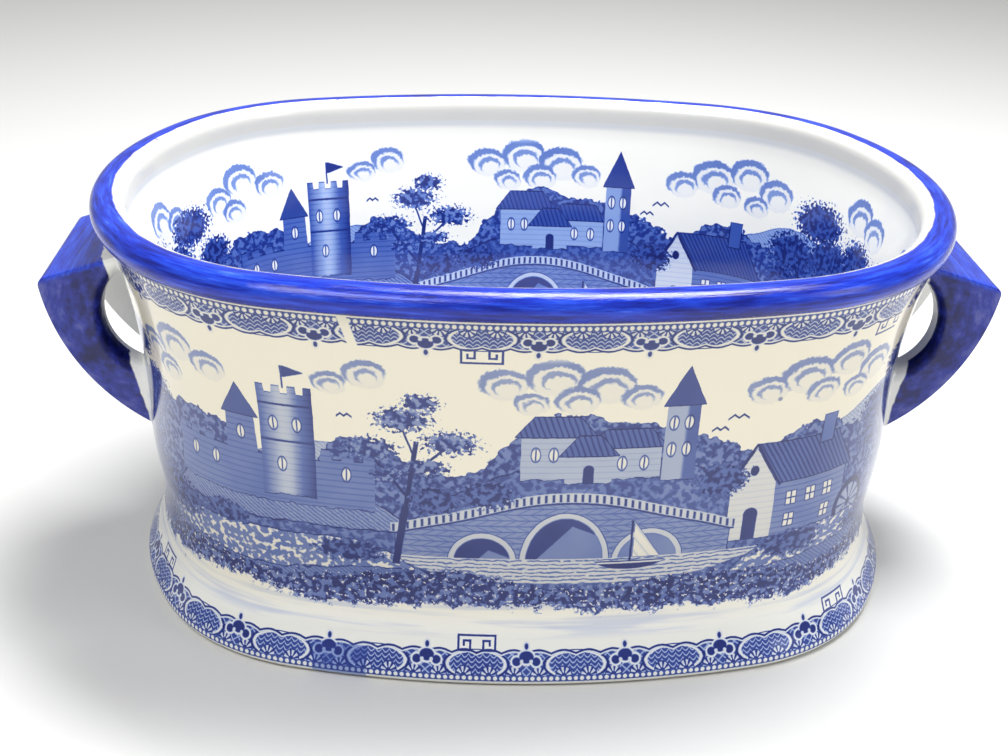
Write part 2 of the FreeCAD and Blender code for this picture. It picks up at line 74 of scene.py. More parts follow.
def meeting(first, first_radius, second, second_radius, turn):
    """Where two circles meet, left of the line of centres if turn is 1, right of it if -1."""
    apart = math.dist(first, second)
    along = (apart ** 2 + first_radius ** 2 - second_radius ** 2) / (2 * apart)
    aside = turn * leg(first_radius, along)
    ux, uz = (second[0] - first[0]) / apart, (second[1] - first[1]) / apart
    return (first[0] + along * ux - aside * uz, first[1] + along * uz + aside * ux)


def bearing(centre, point):
    return math.atan2(point[1] - centre[1], point[0] - centre[0])


END_X = HALF_LENGTH - END_RADIUS
SIDE_Y = HALF_WIDTH - SIDE_RADIUS
CORNER = meeting((END_X, 0), END_RADIUS - CORNER_RADIUS, (0, SIDE_Y), SIDE_RADIUS - CORNER_RADIUS, 1)
END_TURN = bearing((END_X, 0), CORNER)
SIDE_START = bearing((0, SIDE_Y), CORNER)
CORNER_TURN = SIDE_START - END_TURN
SIDE_TURN = math.pi - 2 * SIDE_START
END_STEPS, CORNER_STEPS, SIDE_STEPS = 14, 16, 30
PLAN = (
    ((END_X, 0), END_TURN, END_STEPS),
    (CORNER, CORNER_TURN, CORNER_STEPS),
    ((0, SIDE_Y), SIDE_TURN, SIDE_STEPS),
    ((-CORNER[0], CORNER[1]), CORNER_TURN, CORNER_STEPS),
    ((-END_X, 0), 2 * END_TURN, 2 * END_STEPS),
    ((-CORNER[0], -CORNER[1]), CORNER_TURN, CORNER_STEPS),
    ((0, -SIDE_Y), SIDE_TURN, SIDE_STEPS),
    ((CORNER[0], -CORNER[1]), CORNER_TURN, CORNER_STEPS),
    ((END_X, 0), END_TURN, END_STEPS),
)

FLARE_CENTRE = (WALL_X + FLARE_RADIUS, FLARE_HEIGHT)
SHOULDER_CENTRE = (WALL_X - SHOULDER_RADIUS, FLARE_HEIGHT)


def wall_at(z):
    """The outside of the wall in the middle of the right end."""
    if z >= FLARE_HEIGHT:
        return FLARE_CENTRE[0] - leg(FLARE_RADIUS, z - FLARE_HEIGHT)
    return SHOULDER_CENTRE[0] + leg(SHOULDER_RADIUS, FLARE_HEIGHT - z)


def wall_point(y, z):
    """The outside of the wall near the middle of the right end."""
    return END_X + leg(wall_at(z) - END_X, y)


TOP_SLOPE = (RIDGE[1] - HANDLE_TOP) / (RIDGE[0] - ROOT_X)
BACK = meeting((ROOT_X, HANDLE_FOOT), BACK_RADIUS, RIDGE, BACK_RADIUS, 1)


def top_line(x):
    return HANDLE_TOP + TOP_SLOPE * (x - ROOT_X)


def gap_top(x):
    return GAP_CENTRE[1] + leg(GAP_RADIUS, x - GAP_CENTRE[0])


def gap_foot(x):
    return GAP_CENTRE[1] - leg(GAP_RADIUS, x - GAP_CENTRE[0])


def back_arc(x):
    return BACK[1] - leg(BACK_RADIUS, x - BACK[0])


def meets_wall(edge, y=0.0, sink=0.0):
    """Where an edge of a handle's side view comes to the wall, or to a depth inside it."""
    z = HANDLE_FOOT + HANDLE_HALF
    for _ in range(40):
        z = edge(wall_point(y, z) - sink)
    return (wall_point(y, z) - sink, z)


class Pen:
    """Draws a wire at y = 0 from point to point, by extruding and spinning its tip."""

    def __init__(self, bm, x, z):
        self.bm = bm
        self.tip = bm.verts.new((x * MM, 0, z * MM))
        self.verts = [self.tip]

    def at(self):
        return (self.tip.co.x / MM, self.tip.co.z / MM)

    def line(self, x, z, steps=1):
        shift = Vector((x * MM, 0, z * MM)) - self.tip.co
        for _ in range(steps):
            new = bmesh.ops.extrude_vert_indiv(self.bm, verts=[self.tip])["verts"][0]
            new.co += shift / steps
            self.tip = new
            self.verts.append(new)

    def arc(self, centre, end_angle, steps, clockwise=False):
        """Round a centre to a bearing from it."""
        turn = (end_angle - bearing(centre, self.at())) % math.tau
        if clockwise:
            turn -= math.tau
        old = set(self.bm.verts)
        out = bmesh.ops.spin(self.bm, geom=[self.tip], cent=(centre[0] * MM, 0, centre[1] * MM),
                             axis=(0, -1, 0), dvec=(0, 0, 0), angle=turn, steps=steps,
                             use_merge=False, use_duplicate=False)
        self.tip = next(g for g in out["geom_last"] if isinstance(g, bmesh.types.BMVert))
        new = [v for v in self.bm.verts if v not in old]
        start = bearing(centre, self.at()) - turn
        self.verts += sorted(new, key=lambda v: abs((bearing(centre, (v.co.x / MM, v.co.z / MM)) - start
                                                     + math.pi) % math.tau - math.pi))


def finish_mesh(bm, name, material, sharp=40.0):
    """Closes a mesh into an object: outward normals, smooth but for its sharp edges."""
    bmesh.ops.remove_doubles(bm, verts=bm.verts, dist=1e-6)
    bmesh.ops.recalc_face_normals(bm, faces=bm.faces)
    for face in bm.faces:
        face.smooth = True
    for edge in bm.edges:
        edge.smooth = edge.calc_face_angle(0) < math.radians(sharp)
    mesh = bpy.data.meshes.new(name)
    bm.to_mesh(mesh)
    bm.free()
    obj = bpy.data.objects.new(name, mesh)
    bpy.context.scene.collection.objects.link(obj)
    mesh.materials.append(material)
    return obj


def around(x, y):
    """How far round the wall a point is, anticlockwise from the middle of the right end, from 0 to 1."""
    inset = HALF_LENGTH - WALL_X
    end, corner, side = END_RADIUS - inset, CORNER_RADIUS - inset, SIDE_RADIUS - inset
    px, py = abs(x), abs(y)
    quarter = END_TURN * end + CORNER_TURN * corner + SIDE_TURN / 2 * side
    end_angle, side_angle = bearing((END_X, 0), (px, py)), bearing((0, SIDE_Y), (px, py))
    if px > END_X and end_angle <= END_TURN:
        way = end_angle * end
    elif side_angle >= SIDE_START:
        way = END_TURN * end + CORNER_TURN * corner + (side_angle - SIDE_START) * side
    else:
        way = END_TURN * end + (bearing(CORNER, (px, py)) - END_TURN) * corner
    if x >= 0:
        way = way if y >= 0 else 4 * quarter - way
    else:
        way = 2 * quarter - way if y >= 0 else 2 * quarter + way
    return way / (4 * quarter)


def wrap_round(bm):
    """A UV map on the wall: the way round across, the profile up. The floor and the underside lie flat."""
    layer = bm.loops.layers.uv.new("wrap")
    profile = bm.verts.layers.float["profile"]
    for face in bm.faces:
        if len(face.verts) > 4:
            up = face.calc_center_median().z > FLOOR_TOP * MM / 2
            for loop in face.loops:
                co = loop.vert.co / MM
                shift = -FLAT_PROFILE if up else FLAT_PROFILE
                loop[layer].uv = (0.5 + co.x / (4 * HALF_LENGTH), co.y + shift)
            continue
        ways = [around(loop.vert.co.x / MM, loop.vert.co.y / MM) for loop in face.loops]
        wraps = max(ways) - min(ways) > 0.5
        for loop, way in zip(face.loops, ways):
            if wraps and way < 0.5:
                way += 1
            loop[layer].uv = (way, loop.vert[profile])


def make_vessel(material):
    bm = bmesh.new()
    profile = bm.verts.layers.float.new("profile")
    lip_x = HALF_LENGTH - RIM_WIDTH
    roll = (HALF_LENGTH - ROLL_RADIUS, HEIGHT - ROLL_RADIUS)
    lip = (lip_x + LIP_RADIUS, HEIGHT - LIP_RADIUS)
    inner_shoulder = SHOULDER_RADIUS - WALL
    curve_reach = leg(inner_shoulder - FLOOR_CURVE, FLARE_HEIGHT - FLOOR_TOP - FLOOR_CURVE)
    curve = (SHOULDER_CENTRE[0] + curve_reach, FLOOR_TOP + FLOOR_CURVE)
    waist_reach = leg(SHOULDER_RADIUS + WAIST_RADIUS, FLARE_HEIGHT - WAIST_HEIGHT)
    waist = (SHOULDER_CENTRE[0] + waist_reach, WAIST_HEIGHT)
    foot_reach = leg(WAIST_RADIUS + FOOT_EDGE, WAIST_HEIGHT - FOOT_EDGE)
    foot = (waist[0] - foot_reach, FOOT_EDGE)
    root = meeting(roll, ROLL_RADIUS, FLARE_CENTRE, FLARE_RADIUS, -1)
    crease = (lip_x, FLARE_HEIGHT + leg(FLARE_RADIUS + WALL, FLARE_CENTRE[0] - lip_x))
    ring_x = foot[0] - FOOT_RING

    pen = Pen(bm, curve[0], FLOOR_TOP)
    pen.arc(curve, bearing(SHOULDER_CENTRE, curve), 8)
    pen.arc(SHOULDER_CENTRE, 0, 8)
    pen.arc(FLARE_CENTRE, bearing(FLARE_CENTRE, crease), 14, clockwise=True)
    pen.line(lip_x, lip[1], 5)
    pen.arc(lip, math.pi / 2, 6, clockwise=True)
    pen.line(roll[0], HEIGHT, 2)
    crest = len(pen.verts) - 1
    pen.arc(roll, bearing(roll, root), 16, clockwise=True)
    pen.arc(FLARE_CENTRE, math.pi, 16)
    pen.arc(SHOULDER_CENTRE, bearing(SHOULDER_CENTRE, waist), 6, clockwise=True)
    pen.arc(waist, bearing(waist, foot), 10)
    pen.arc(foot, -math.pi / 2, 8, clockwise=True)
    pen.line(ring_x + RING_EDGE, 0, 2)
    pen.arc((ring_x + RING_EDGE, RING_EDGE), math.pi, 3, clockwise=True)
    pen.line(ring_x, FOOT_DEPTH - RING_EDGE, 2)
    pen.arc((ring_x - RING_EDGE, FOOT_DEPTH - RING_EDGE), math.pi / 2, 3)
    # each vertex keeps its way along the section from the crest: more outside, less inside
    for sign, run in ((1, pen.verts[crest:]), (-1, pen.verts[crest::-1])):
        way = 0.0
        for before, vert in zip(run, run[1:]):
            way += sign * (vert.co - before.co).length / MM
            vert[profile] = way
    geom = list(bm.verts) + list(bm.edges)
    for (x, y), turn, steps in PLAN:
        out = bmesh.ops.spin(bm, geom=geom, cent=(x * MM, y * MM, 0), axis=(0, 0, 1), dvec=(0, 0, 0),
                             angle=turn, steps=steps, use_merge=False, use_duplicate=False)
        geom = out["geom_last"]
    bmesh.ops.remove_doubles(bm, verts=bm.verts, dist=1e-6)
    bmesh.ops.holes_fill(bm, edges=bm.edges, sides=0)
    wrap_round(bm)
    return finish_mesh(bm, "jardiniere_vessel", material)


def ridge_circle():
    """The middle of the circle that rounds the ridge: it touches the top line and the back arc."""
    normal = Vector((TOP_SLOPE, -1)).normalized()
    along = Vector((1, TOP_SLOPE)).normalized()
    base = Vector((ROOT_X, HANDLE_TOP)) + normal * RIDGE_RADIUS
    low, high = 0.0, RIDGE[0] - ROOT_X
    for _ in range(50):
        middle = (low + high) / 2
        if math.dist(base + along * middle, BACK) < BACK_RADIUS - RIDGE_RADIUS:
            low = middle
        else:
            high = middle
    centre = base + along * low
    return tuple(centre), tuple(centre - normal * RIDGE_RADIUS)


def extruded(bm, faces, y, keep):
    """Moves a copy of some faces along y, with walls between; the old ones stay if they close the mesh."""
    out = bmesh.ops.extrude_face_region(bm, geom=faces, use_keep_orig=True)["geom"]
    if not keep:
        bmesh.ops.delete(bm, geom=faces, context="FACES_ONLY")
    verts = [g for g in out if isinstance(g, bmesh.types.BMVert)]
    bmesh.ops.translate(bm, verts=verts, vec=(0, y * MM, 0))
    return [g for g in out if isinstance(g, bmesh.types.BMFace)]


def make_handle(name, material, side):
    """An arched handle, rounded at its edges and let into the wall, at the right end or mirrored."""
    bm = bmesh.new()
    ridge, ridge_top = ridge_circle()
    high_root, foot_root = meets_wall(top_line, sink=SINK), meets_wall(back_arc, sink=SINK)
    gap_start, gap_end = meets_wall(gap_foot, sink=SINK), meets_wall(gap_top, sink=SINK)
    pen = Pen(bm, *high_root)
    pen.line(*ridge_top, 8)
    pen.arc(ridge, bearing(BACK, ridge), 6, clockwise=True)
    pen.arc(BACK, bearing(BACK, foot_root), 24, clockwise=True)
    pen.line(*gap_start)
    pen.arc(GAP_CENTRE, bearing(GAP_CENTRE, gap_end), 24)
    pen.line(*high_root)
    bmesh.ops.remove_doubles(bm, verts=bm.verts, dist=1e-5)
    bmesh.ops.contextual_create(bm, geom=list(bm.edges))

    def off_underside(vert):
        x, _, z = vert.co / MM
        return abs(z - top_line(x) + BAR)

    middle = (GAP_CENTRE[0] + GAP_RADIUS + RIDGE[0]) / 2 * MM
    ends = [min((v for v in bm.verts if (v.co.x > middle) == outer and v.co.z > GAP_CENTRE[1] * MM),
                key=off_underside) for outer in (False, True)]
    bmesh.ops.connect_verts(bm, verts=ends)
    bmesh.ops.translate(bm, verts=bm.verts, vec=(0, -HANDLE_HALF * MM, 0))
    faces = extruded(bm, list(bm.faces), LEG_WIDTH / 2, True)
    faces = extruded(bm, faces, LEG_WIDTH / 2, False)
    bar = [max(faces, key=lambda f: f.calc_center_median().z)]
    for _ in range(4):
        bar = extruded(bm, bar, (HANDLE_HALF - LEG_WIDTH) / 4, False)
    bmesh.ops.delete(bm, geom=bar, context="FACES_ONLY")
    sides = [f for f in bm.faces
             if abs(f.normal.y) > 0.9 and f.calc_center_median().y < -(HANDLE_HALF - 1) * MM]
    bmesh.ops.dissolve_edges(bm, edges=[e for e in sides[0].edges if e in sides[1].edges])
    bmesh.ops.delete(bm, geom=[e for e in bm.edges if e.is_wire], context="EDGES")
    bmesh.ops.mirror(bm, geom=bm.verts[:] + bm.edges[:] + bm.faces[:], axis="Y", merge_dist=1e-6)
    bmesh.ops.recalc_face_normals(bm, faces=bm.faces)

    def at_root(edge):
        return all(v.co.x / MM < wall_at(v.co.z / MM) - SINK + 0.05 for v in edge.verts)

    def round_off(radius, wanted):
        edges = [e for e in bm.edges
                 if not at_root(e) and e.is_convex and e.calc_face_angle(0) > 0.7 and wanted(e)]
        bmesh.ops.bevel(bm, geom=edges, offset=radius * MM, offset_type="OFFSET", affect="EDGES", segments=6,
                        profile=0.5, material=-1, clamp_overlap=True)

    def near_gap(edge):
        return all(abs(math.dist((v.co.x / MM, v.co.z / MM), GAP_CENTRE) - GAP_RADIUS) < 0.3
                   and abs(v.co.y) > (HANDLE_HALF - 1) * MM for v in edge.verts)

    round_off(GAP_ROUND, near_gap)
    round_off(EDGE_ROUND, lambda edge: True)
    flats = [f for f in bm.faces if len(f.verts) > 8]
    bmesh.ops.inset_region(bm, faces=flats, thickness=0.6 * MM, use_even_offset=True)
    if side < 0:
        bmesh.ops.scale(bm, verts=bm.verts, vec=(-1, 1, 1))
    return finish_mesh(bm, name, material, sharp=50.0)


def make_slip(name, material, side, low, high, pads):
    """Fillets of slip where a handle sits on the wall, between two edges of its side view."""
    bm = bmesh.new()
    for middle, half_y in pads:
        ring = bmesh.ops.create_circle(bm, segments=96, radius=MM)["verts"]
        turns = [math.atan2(v.co.y, v.co.x) for v in ring]
        loops = [ring]
        for _ in SLIP_PROFILE[1:]:
            edges = [e for e in bm.edges if all(v in loops[-1] for v in e.verts)]
            out = bmesh.ops.extrude_edge_only(bm, edges=edges)["geom"]
            new = {g for g in out if isinstance(g, bmesh.types.BMVert)}
            loops.append([next(e.other_vert(v) for e in v.link_edges if e.other_vert(v) in new)
                          for v in loops[-1]])
        for ring, (offset, lift) in zip(loops, SLIP_PROFILE):
            for vert, turn in zip(ring, turns):
                c, s = math.cos(turn), math.sin(turn)
                # a rounded oblong: the corner's circle, moved out to the straight sides
                stretch = 1 / max(abs(c), abs(s))
                y = middle + max(-1, min(1, c * stretch)) * (half_y - SLIP_CORNER)
                foot, head = meets_wall(low, y)[1], meets_wall(high, y)[1]
                z = (foot + head) / 2 + max(-1, min(1, s * stretch)) * ((head - foot) / 2 - SLIP_CORNER)
                y, z = y + c * (SLIP_CORNER + offset), z + s * (SLIP_CORNER + offset)
                vert.co = ((wall_point(y, z) + lift) * MM, y * MM, z * MM)
        ends = [e for e in bm.edges if e.is_boundary]
        bmesh.ops.bridge_loops(bm, edges=ends)
    if side < 0:
        bmesh.ops.scale(bm, verts=bm.verts, vec=(-1, 1, 1))
    return finish_mesh(bm, name, material, sharp=80.0)


class Field:
    """A number at each point of a surface, made by a shader node. Sums and products make new nodes."""

    def __init__(self, art, socket):
        self.art = art
        self.socket = socket
        self.key = (socket.node.name, socket.identifier)

    def __add__(self, other):
        return self.art.math("ADD", self, other)

    def __radd__(self, other):
        return self.art.math("ADD", self, other)

    def __sub__(self, other):
        return self.art.math("SUBTRACT", self, other)

    def __rsub__(self, other):
        return self.art.math("SUBTRACT", other, self)

    def __mul__(self, other):
        return self.art.math("MULTIPLY", self, other)

    def __rmul__(self, other):
        return self.art.math("MULTIPLY", self, other)

    def __truediv__(self, other):
        return self.art.math("DIVIDE", self, other)

    def __abs__(self):
        return self.art.math("ABSOLUTE", self)


class Art:
    """A tree of shader nodes, with the few drawing moves that a surface is made with."""

    def __init__(self, tree):
        self.tree = tree
        self.known = {}

    def layer(self, draw, **fields):
        """What one drawing makes of some fields, in a node group of its own."""
        tree = bpy.data.node_groups.new(draw.__name__, "ShaderNodeTree")
        for word in fields:
            tree.interface.new_socket(name=word, in_out="INPUT", socket_type="NodeSocketFloat")
        tree.interface.new_socket(name="ink", in_out="OUTPUT", socket_type="NodeSocketFloat")
        art = Art(tree)
        given = art.node("NodeGroupInput")
        drawn = draw(art, **{word: Field(art, given.outputs[word]) for word in fields})
        art.node("NodeGroupOutput", {0: drawn})
        node = self.node("ShaderNodeGroup", node_tree=tree)
        for word, field in fields.items():
            self.feed(node.inputs[word], field)
        return Field(self, node.outputs[0])

    def node(self, kind, inputs=(), **settings):
        node = self.tree.nodes.new(kind)
        for key, value in settings.items():
            setattr(node, key, value)
        for key, value in dict(inputs).items():
            self.feed(node.inputs[key], value)
        return node

    def feed(self, socket, value):
        if isinstance(value, Field):
            self.tree.links.new(value.socket, socket)
        else:
            socket.default_value = value

    def math(self, operation, *values):
        """One step of arithmetic; a step that was made before is used again."""
        key = (operation, *(v.key if isinstance(v, Field) else v for v in values))
        if key not in self.known:
            node = self.node("ShaderNodeMath", enumerate(values), operation=operation)
            self.known[key] = Field(self, node.outputs[0])
        return self.known[key]

    def blend(self, field, low, high):
        """0 where a field is at low, 1 where it is at high, eased between them."""
        node = self.node("ShaderNodeMapRange", {0: field, 1: low, 2: high},
                         interpolation_type="SMOOTHSTEP", clamp=False)
        return Field(self, node.outputs[0])

    def cover(self, distance, soft=0.35):
        """1 where a distance is positive, 0 where it is negative, blurred over twice soft."""
        return self.blend(distance, -soft, soft)

    def both(self, *covers):
        out = covers[0]
        for cover in covers[1:]:
            out = self.math("MINIMUM", out, cover)
        return out

    def either(self, *covers):
        out = covers[0]
        for cover in covers[1:]:
            out = self.math("MAXIMUM", out, cover)
        return out

    def over(self, ground, tone, cover):
        """A tone laid over a ground where cover is 1."""
        node = self.node("ShaderNodeMix", {0: cover, 2: ground, 3: tone})
        return Field(self, node.outputs[0])

    def wash(self, ground, tone, cover, line=0.85):
        """A tone laid over a ground, with a darker line along its edge."""
        return self.over(ground, self.math("MULTIPLY_ADD", cover, -2 * line, tone + 2 * line), cover)

    def tint(self, ground, colour, cover):
        """A colour laid over a ground colour where cover is 1."""
        node = self.node("ShaderNodeMix", {0: cover}, data_type="RGBA")
        for index, value in ((6, ground), (7, colour)):
            self.feed(node.inputs[index], value if isinstance(value, Field) else (*value, 1))
        return Field(self, node.outputs[2])

    def vector(self, x, y, z=0.0):
        """Three fields as one vector; one that was made before is used again."""
        key = tuple(v.key if isinstance(v, Field) else v for v in (x, y, z))
        if key not in self.known:
            self.known[key] = Field(self, self.node("ShaderNodeCombineXYZ", {0: x, 1: y, 2: z}).outputs[0])
        return self.known[key]

    def noise(self, vector, scale, detail=2.0, roughness=0.5):
        node = self.node("ShaderNodeTexNoise", {"Vector": vector, "Scale": scale, "Detail": detail,
                                                "Roughness": roughness})
        return Field(self, node.outputs[0])

    def cells(self, vector, scale, feature="F1"):
        node = self.node("ShaderNodeTexVoronoi", {"Vector": vector, "Scale": scale}, feature=feature)
        return Field(self, node.outputs["Distance"])

    def curve(self, field, low, high, points, tall=200.0, smooth=False):
        """A drawn line: its height in millimetres at each place between low and high."""
        place = self.math("MULTIPLY_ADD", field, 1 / (high - low), -low / (high - low))
        place = self.math("MAXIMUM", self.math("MINIMUM", place, 1.0), 0.0)
        node = self.node("ShaderNodeFloatCurve", {"Value": place})
        line = node.mapping.curves[0]
        while len(line.points) < len(points):
            line.points.new(0.5, 0.5)
        for point, (x, y) in zip(line.points, sorted(points)):
            point.location = ((x - low) / (high - low), y / tall)
            point.handle_type = "AUTO" if smooth else "VECTOR"
        node.mapping.update()
        return Field(self, node.outputs[0]) * tall

    def under(self, s, t, points, smooth=False, soft=0.35, rough=None):
        """The ground below a drawn skyline."""
        places = [x for x, _ in points]
        top = self.curve(s, min(places), max(places), points, smooth=smooth)
        if rough is not None:
            top = top + rough
        return self.cover(top - t, soft)

    def spot(self, s, t, x, y, wide, tall):
        """How far from the middle of an ellipse, 1 at its edge."""
        node = self.node("ShaderNodeVectorMath", {0: self.vector(s, t)}, operation="MULTIPLY_ADD")
        node.inputs[1].default_value = (1 / wide, 1 / tall, 0)
        node.inputs[2].default_value = (-x / wide, -y / tall, 0)
        far = self.node("ShaderNodeVectorMath", {0: Field(self, node.outputs[0])}, operation="LENGTH")
        return Field(self, far.outputs["Value"])

    def disc(self, s, t, x, y, wide, tall=None, soft=0.35):
        tall = tall or wide
        stretch, blur = wide / tall, soft * wide / min(wide, tall)
        far = self.node("ShaderNodeVectorMath", {0: self.vector(s, t * stretch)}, operation="DISTANCE")
        far.inputs[1].default_value = (x, y * stretch, 0)
        return self.blend(Field(self, far.outputs["Value"]), wide + blur, wide - blur)

    def block(self, s, t, left, right, low, high, soft=0.3):
        across = (right - left) / 2 - abs(s - (left + right) / 2)
        upright = (high - low) / 2 - abs(t - (low + high) / 2)
        return self.cover(self.math("MINIMUM", across, upright), soft)

    def stroke(self, s, t, start, end, width, soft=0.3):
        """A straight stroke from one point to another."""
        (x0, y0), (x1, y1) = start, end
        length = math.dist(start, end)
        ux, uy = (x1 - x0) / length, (y1 - y0) / length
        dx, dy = s - (x0 + x1) / 2, t - (y0 + y1) / 2
        along = length / 2 - abs(dx * ux + dy * uy)
        aside = width / 2 - abs(dy * ux - dx * uy)
        return self.cover(self.math("MINIMUM", along, aside), soft)

    def stripes(self, field, pitch, share):
        """1 on stripes that cover a share of each pitch."""
        wave = self.math("PINGPONG", field, pitch / 2)
        return self.cover(share * pitch / 2 - wave, pitch * 0.12)

    def ramp(self, field, stops):
        node = self.node("ShaderNodeValToRGB", {0: field})
        ramp = node.color_ramp
        while len(ramp.elements) < len(stops):
            ramp.elements.new(0.5)
        for element, (place, colour) in zip(ramp.elements, stops):
            element.position = place
            element.color = (*colour, 1)
        return Field(self, node.outputs[0])

    def glaze(self, colour, roughness, bump, depth):
        shader = self.tree.nodes["Principled BSDF"]
        self.feed(shader.inputs["Base Color"], colour)
        self.feed(shader.inputs["Roughness"], roughness)
        shader.inputs["Specular IOR Level"].default_value = 0.38
        shader.inputs["Coat Weight"].default_value = 0.1
        shader.inputs["Coat Roughness"].default_value = 0.04
        node = self.node("ShaderNodeBump", {"Height": bump, "Distance": depth * MM, "Strength": 1.0})
        self.tree.links.new(node.outputs[0], shader.inputs["Normal"])


def new_material(name):
    material = bpy.data.materials.new(name)
    material.use_nodes = True
    return material, Art(material.node_tree)


def srgb(*values):
    """A colour given in everyday 0 to 255 steps."""
    return tuple((v / 255 / 12.92) if v <= 10 else ((v / 255 + 0.055) / 1.055) ** 2.4 for v in values)


# The print runs twice round the pot. A drawing is given the ink so far and five fields: s across a panel
# and t up it, both in millimetres, and three noises, leaf, lumps and rag, that roughen its edges and tones.
PANEL = 562.2
PRINT_TOP, INSIDE_LIFT = 171.0, 9.0
BORDER_TOP, BORDER_FOOT, BORDER_END = 189.5, 3.0, 217.0
LEFT_EASE = 350.0
# where the rim's cobalt ends on the wall's profile, inside and outside
PAINT_INSIDE, PAINT_OUTSIDE = -4.5, 20.6
IVORY, COOL_WHITE = srgb(230, 223, 203), srgb(234, 234, 229)
INKS = (srgb(186, 200, 240), srgb(98, 122, 204), srgb(62, 76, 158), srgb(42, 50, 120))
DEEP_INKS = (srgb(150, 178, 240), srgb(60, 92, 188), srgb(34, 54, 146), srgb(22, 32, 108))
COBALT = (srgb(12, 22, 112), srgb(20, 46, 172), srgb(36, 74, 208), srgb(90, 126, 236))


def leaves(art, ink, s, t, clumps, leaf, lumps, dark=0.9, light=0.5, rag=0.7):
    """Tree or bush heads: ragged ellipses, lit in lumps."""
    nearest = None
    for x, y, wide, tall in clumps:
        spot = art.spot(s, t, x, y, wide, tall)
        nearest = spot if nearest is None else art.math("MINIMUM", nearest, spot)
    cover = art.cover(1 - nearest + (leaf - 0.5) * rag * 2, 0.12)
    tone = art.over(dark, light, art.cover(lumps - 0.5, 0.09))
    return art.over(ink, tone, cover)


def hatching(art, s, t, leaf):
    return art.stripes(t * 0.8 + s * 0.6 + (leaf - 0.5) * 1.2, 1.7, 0.45)


def draw_clouds(art, ink, s, t, leaf, lumps, rag):
    """Clouds: heaps of curled puffs, each a pair of blue arcs over white."""
    s, t = s + rag * 5, t + (leaf - 0.5) * 2.5
    for x, y, size in ((-14, 158, 11), (8, 162, 13), (30, 158, 13), (46, 151, 9), (18, 150, 10),
                       (-2, 148, 8), (104, 150, 10), (122, 156, 13), (144, 160, 12), (164, 152, 12),
                       (132, 146, 9), (152, 143, 8), (-188, 150, 11), (-168, 158, 12), (-148, 152, 10),
                       (-176, 142, 9), (-74, 160, 10), (-90, 154, 8), (236, 160, 13), (256, 156, 12),
                       (-250, 158, 13), (-232, 152, 10)):
        for scale, drop, tone in ((1.0, 0.0, 0.46), (0.86, 0.2, 0.05), (0.58, 0.16, 0.42), (0.46, 0.3, 0.04)):
            wide = size * scale
            arc = art.disc(s, t, x + size * drop * 0.5, y - size * drop, wide, wide * 0.7, 0.5)
            ink = art.over(ink, tone, arc)
    return ink


def draw_hills(art, ink, s, t, leaf, lumps, rag):
    """Far hills and the woods at their foot."""
    slant = hatching(art, s, t, leaf)
    patchy = art.cover(lumps - 0.5, 0.08)
    hills = art.under(s, t, [(-281, 104), (-232, 128), (-196, 112), (-160, 104), (-92, 122), (-40, 108),
                             (12, 112), (60, 116), (104, 112), (150, 126), (186, 136), (226, 122),
                             (281, 104)], smooth=True, soft=0.6, rough=rag * 1.5)
    ink = art.wash(ink, 0.3 + 0.1 * slant, hills, 0.6)
    woods = art.under(s, t, [(-281, 108), (-236, 126), (-196, 120), (-172, 126), (-146, 124), (-104, 108),
                             (-84, 126), (-60, 118), (-34, 108), (-14, 124), (14, 142), (36, 138),
                             (60, 134), (84, 126), (104, 118), (130, 128), (166, 120), (210, 126),
                             (281, 108)], smooth=True, soft=0.6, rough=rag * 12)
    ink = art.wash(ink, 0.5 + 0.3 * patchy, woods, 0.8)
    return ink


def draw_castle(art, ink, s, t, leaf, lumps, rag):
    """Knoll, curtain wall and round keep."""
    slant = hatching(art, s, t, leaf)
    courses = art.stripes(t, 3.1, 0.16)
    knoll = art.under(s, t, [(-205, 50), (-188, 74), (-160, 96), (-120, 102), (-82, 97), (-52, 78),
                             (-34, 50)], smooth=True, soft=0.6, rough=rag * 2.5)
    ink = art.wash(ink, 0.44 + 0.14 * slant, knoll)
    walls = art.under(s, t, [(-176, 0), (-175.5, 116), (-171, 116), (-170.6, 112), (-166, 112),
                             (-165.6, 116), (-161, 116), (-160.6, 112), (-156, 112), (-155.6, 116),
                             (-151, 116), (-150.6, 112), (-142, 112), (-141.6, 131), (-134, 137),
                             (-126.4, 131), (-126, 112), (-96, 112), (-95.6, 118), (-91, 118), (-90.6, 113),
                             (-86, 113), (-85.6, 118), (-81, 118), (-80.6, 113), (-76, 113), (-75.6, 118),
                             (-71, 118), (-70.6, 0)], soft=0.5)
    walls = art.both(walls, art.cover(t - 88 - rag * 4))
    ink = art.wash(ink, 0.52 + 0.1 * courses, walls)
    keep = art.under(s, t, [(-124, 0), (-123.6, 149), (-120, 149), (-119.7, 145), (-116.5, 145),
                            (-116.2, 149), (-112.6, 149), (-112.3, 145), (-109.2, 145), (-108.9, 149),
                            (-105.3, 149), (-105, 145), (-102, 145), (-101.7, 149), (-98.2, 149),
                            (-97.8, 0)], soft=0.5)
    keep = art.both(keep, art.cover(t - 92 - rag * 4))
    shade = art.curve(s, -124, -98, [(-124, 120), (-117, 74), (-112, 50), (-106, 96), (-98, 165)],
                      smooth=True)
    ink = art.wash(ink, shade / 200 + 0.08 * courses, keep, 0.9)
    bands = art.either(*(art.cover(0.5 - abs(t - y), 0.3) for y in (139, 120)))
    ink = art.over(ink, 0.88, art.both(keep, bands))
    roof = art.under(s, t, [(-144, 0), (-143.8, 130), (-134, 147), (-124.2, 130), (-124, 0)], soft=0.5)
    ink = art.wash(ink, 0.7, art.both(roof, art.cover(t - 130)), 0.95)
    pole = art.block(s, t, -111.4, -110.6, 148, 160)
    flag = art.both(art.block(s, t, -110.8, -101, 154, 160),
                    art.cover((-101 - s) * 0.32 + 0.2 - abs(t - 157)))
    ink = art.over(ink, 0.85, art.either(pole, flag))
    return ink


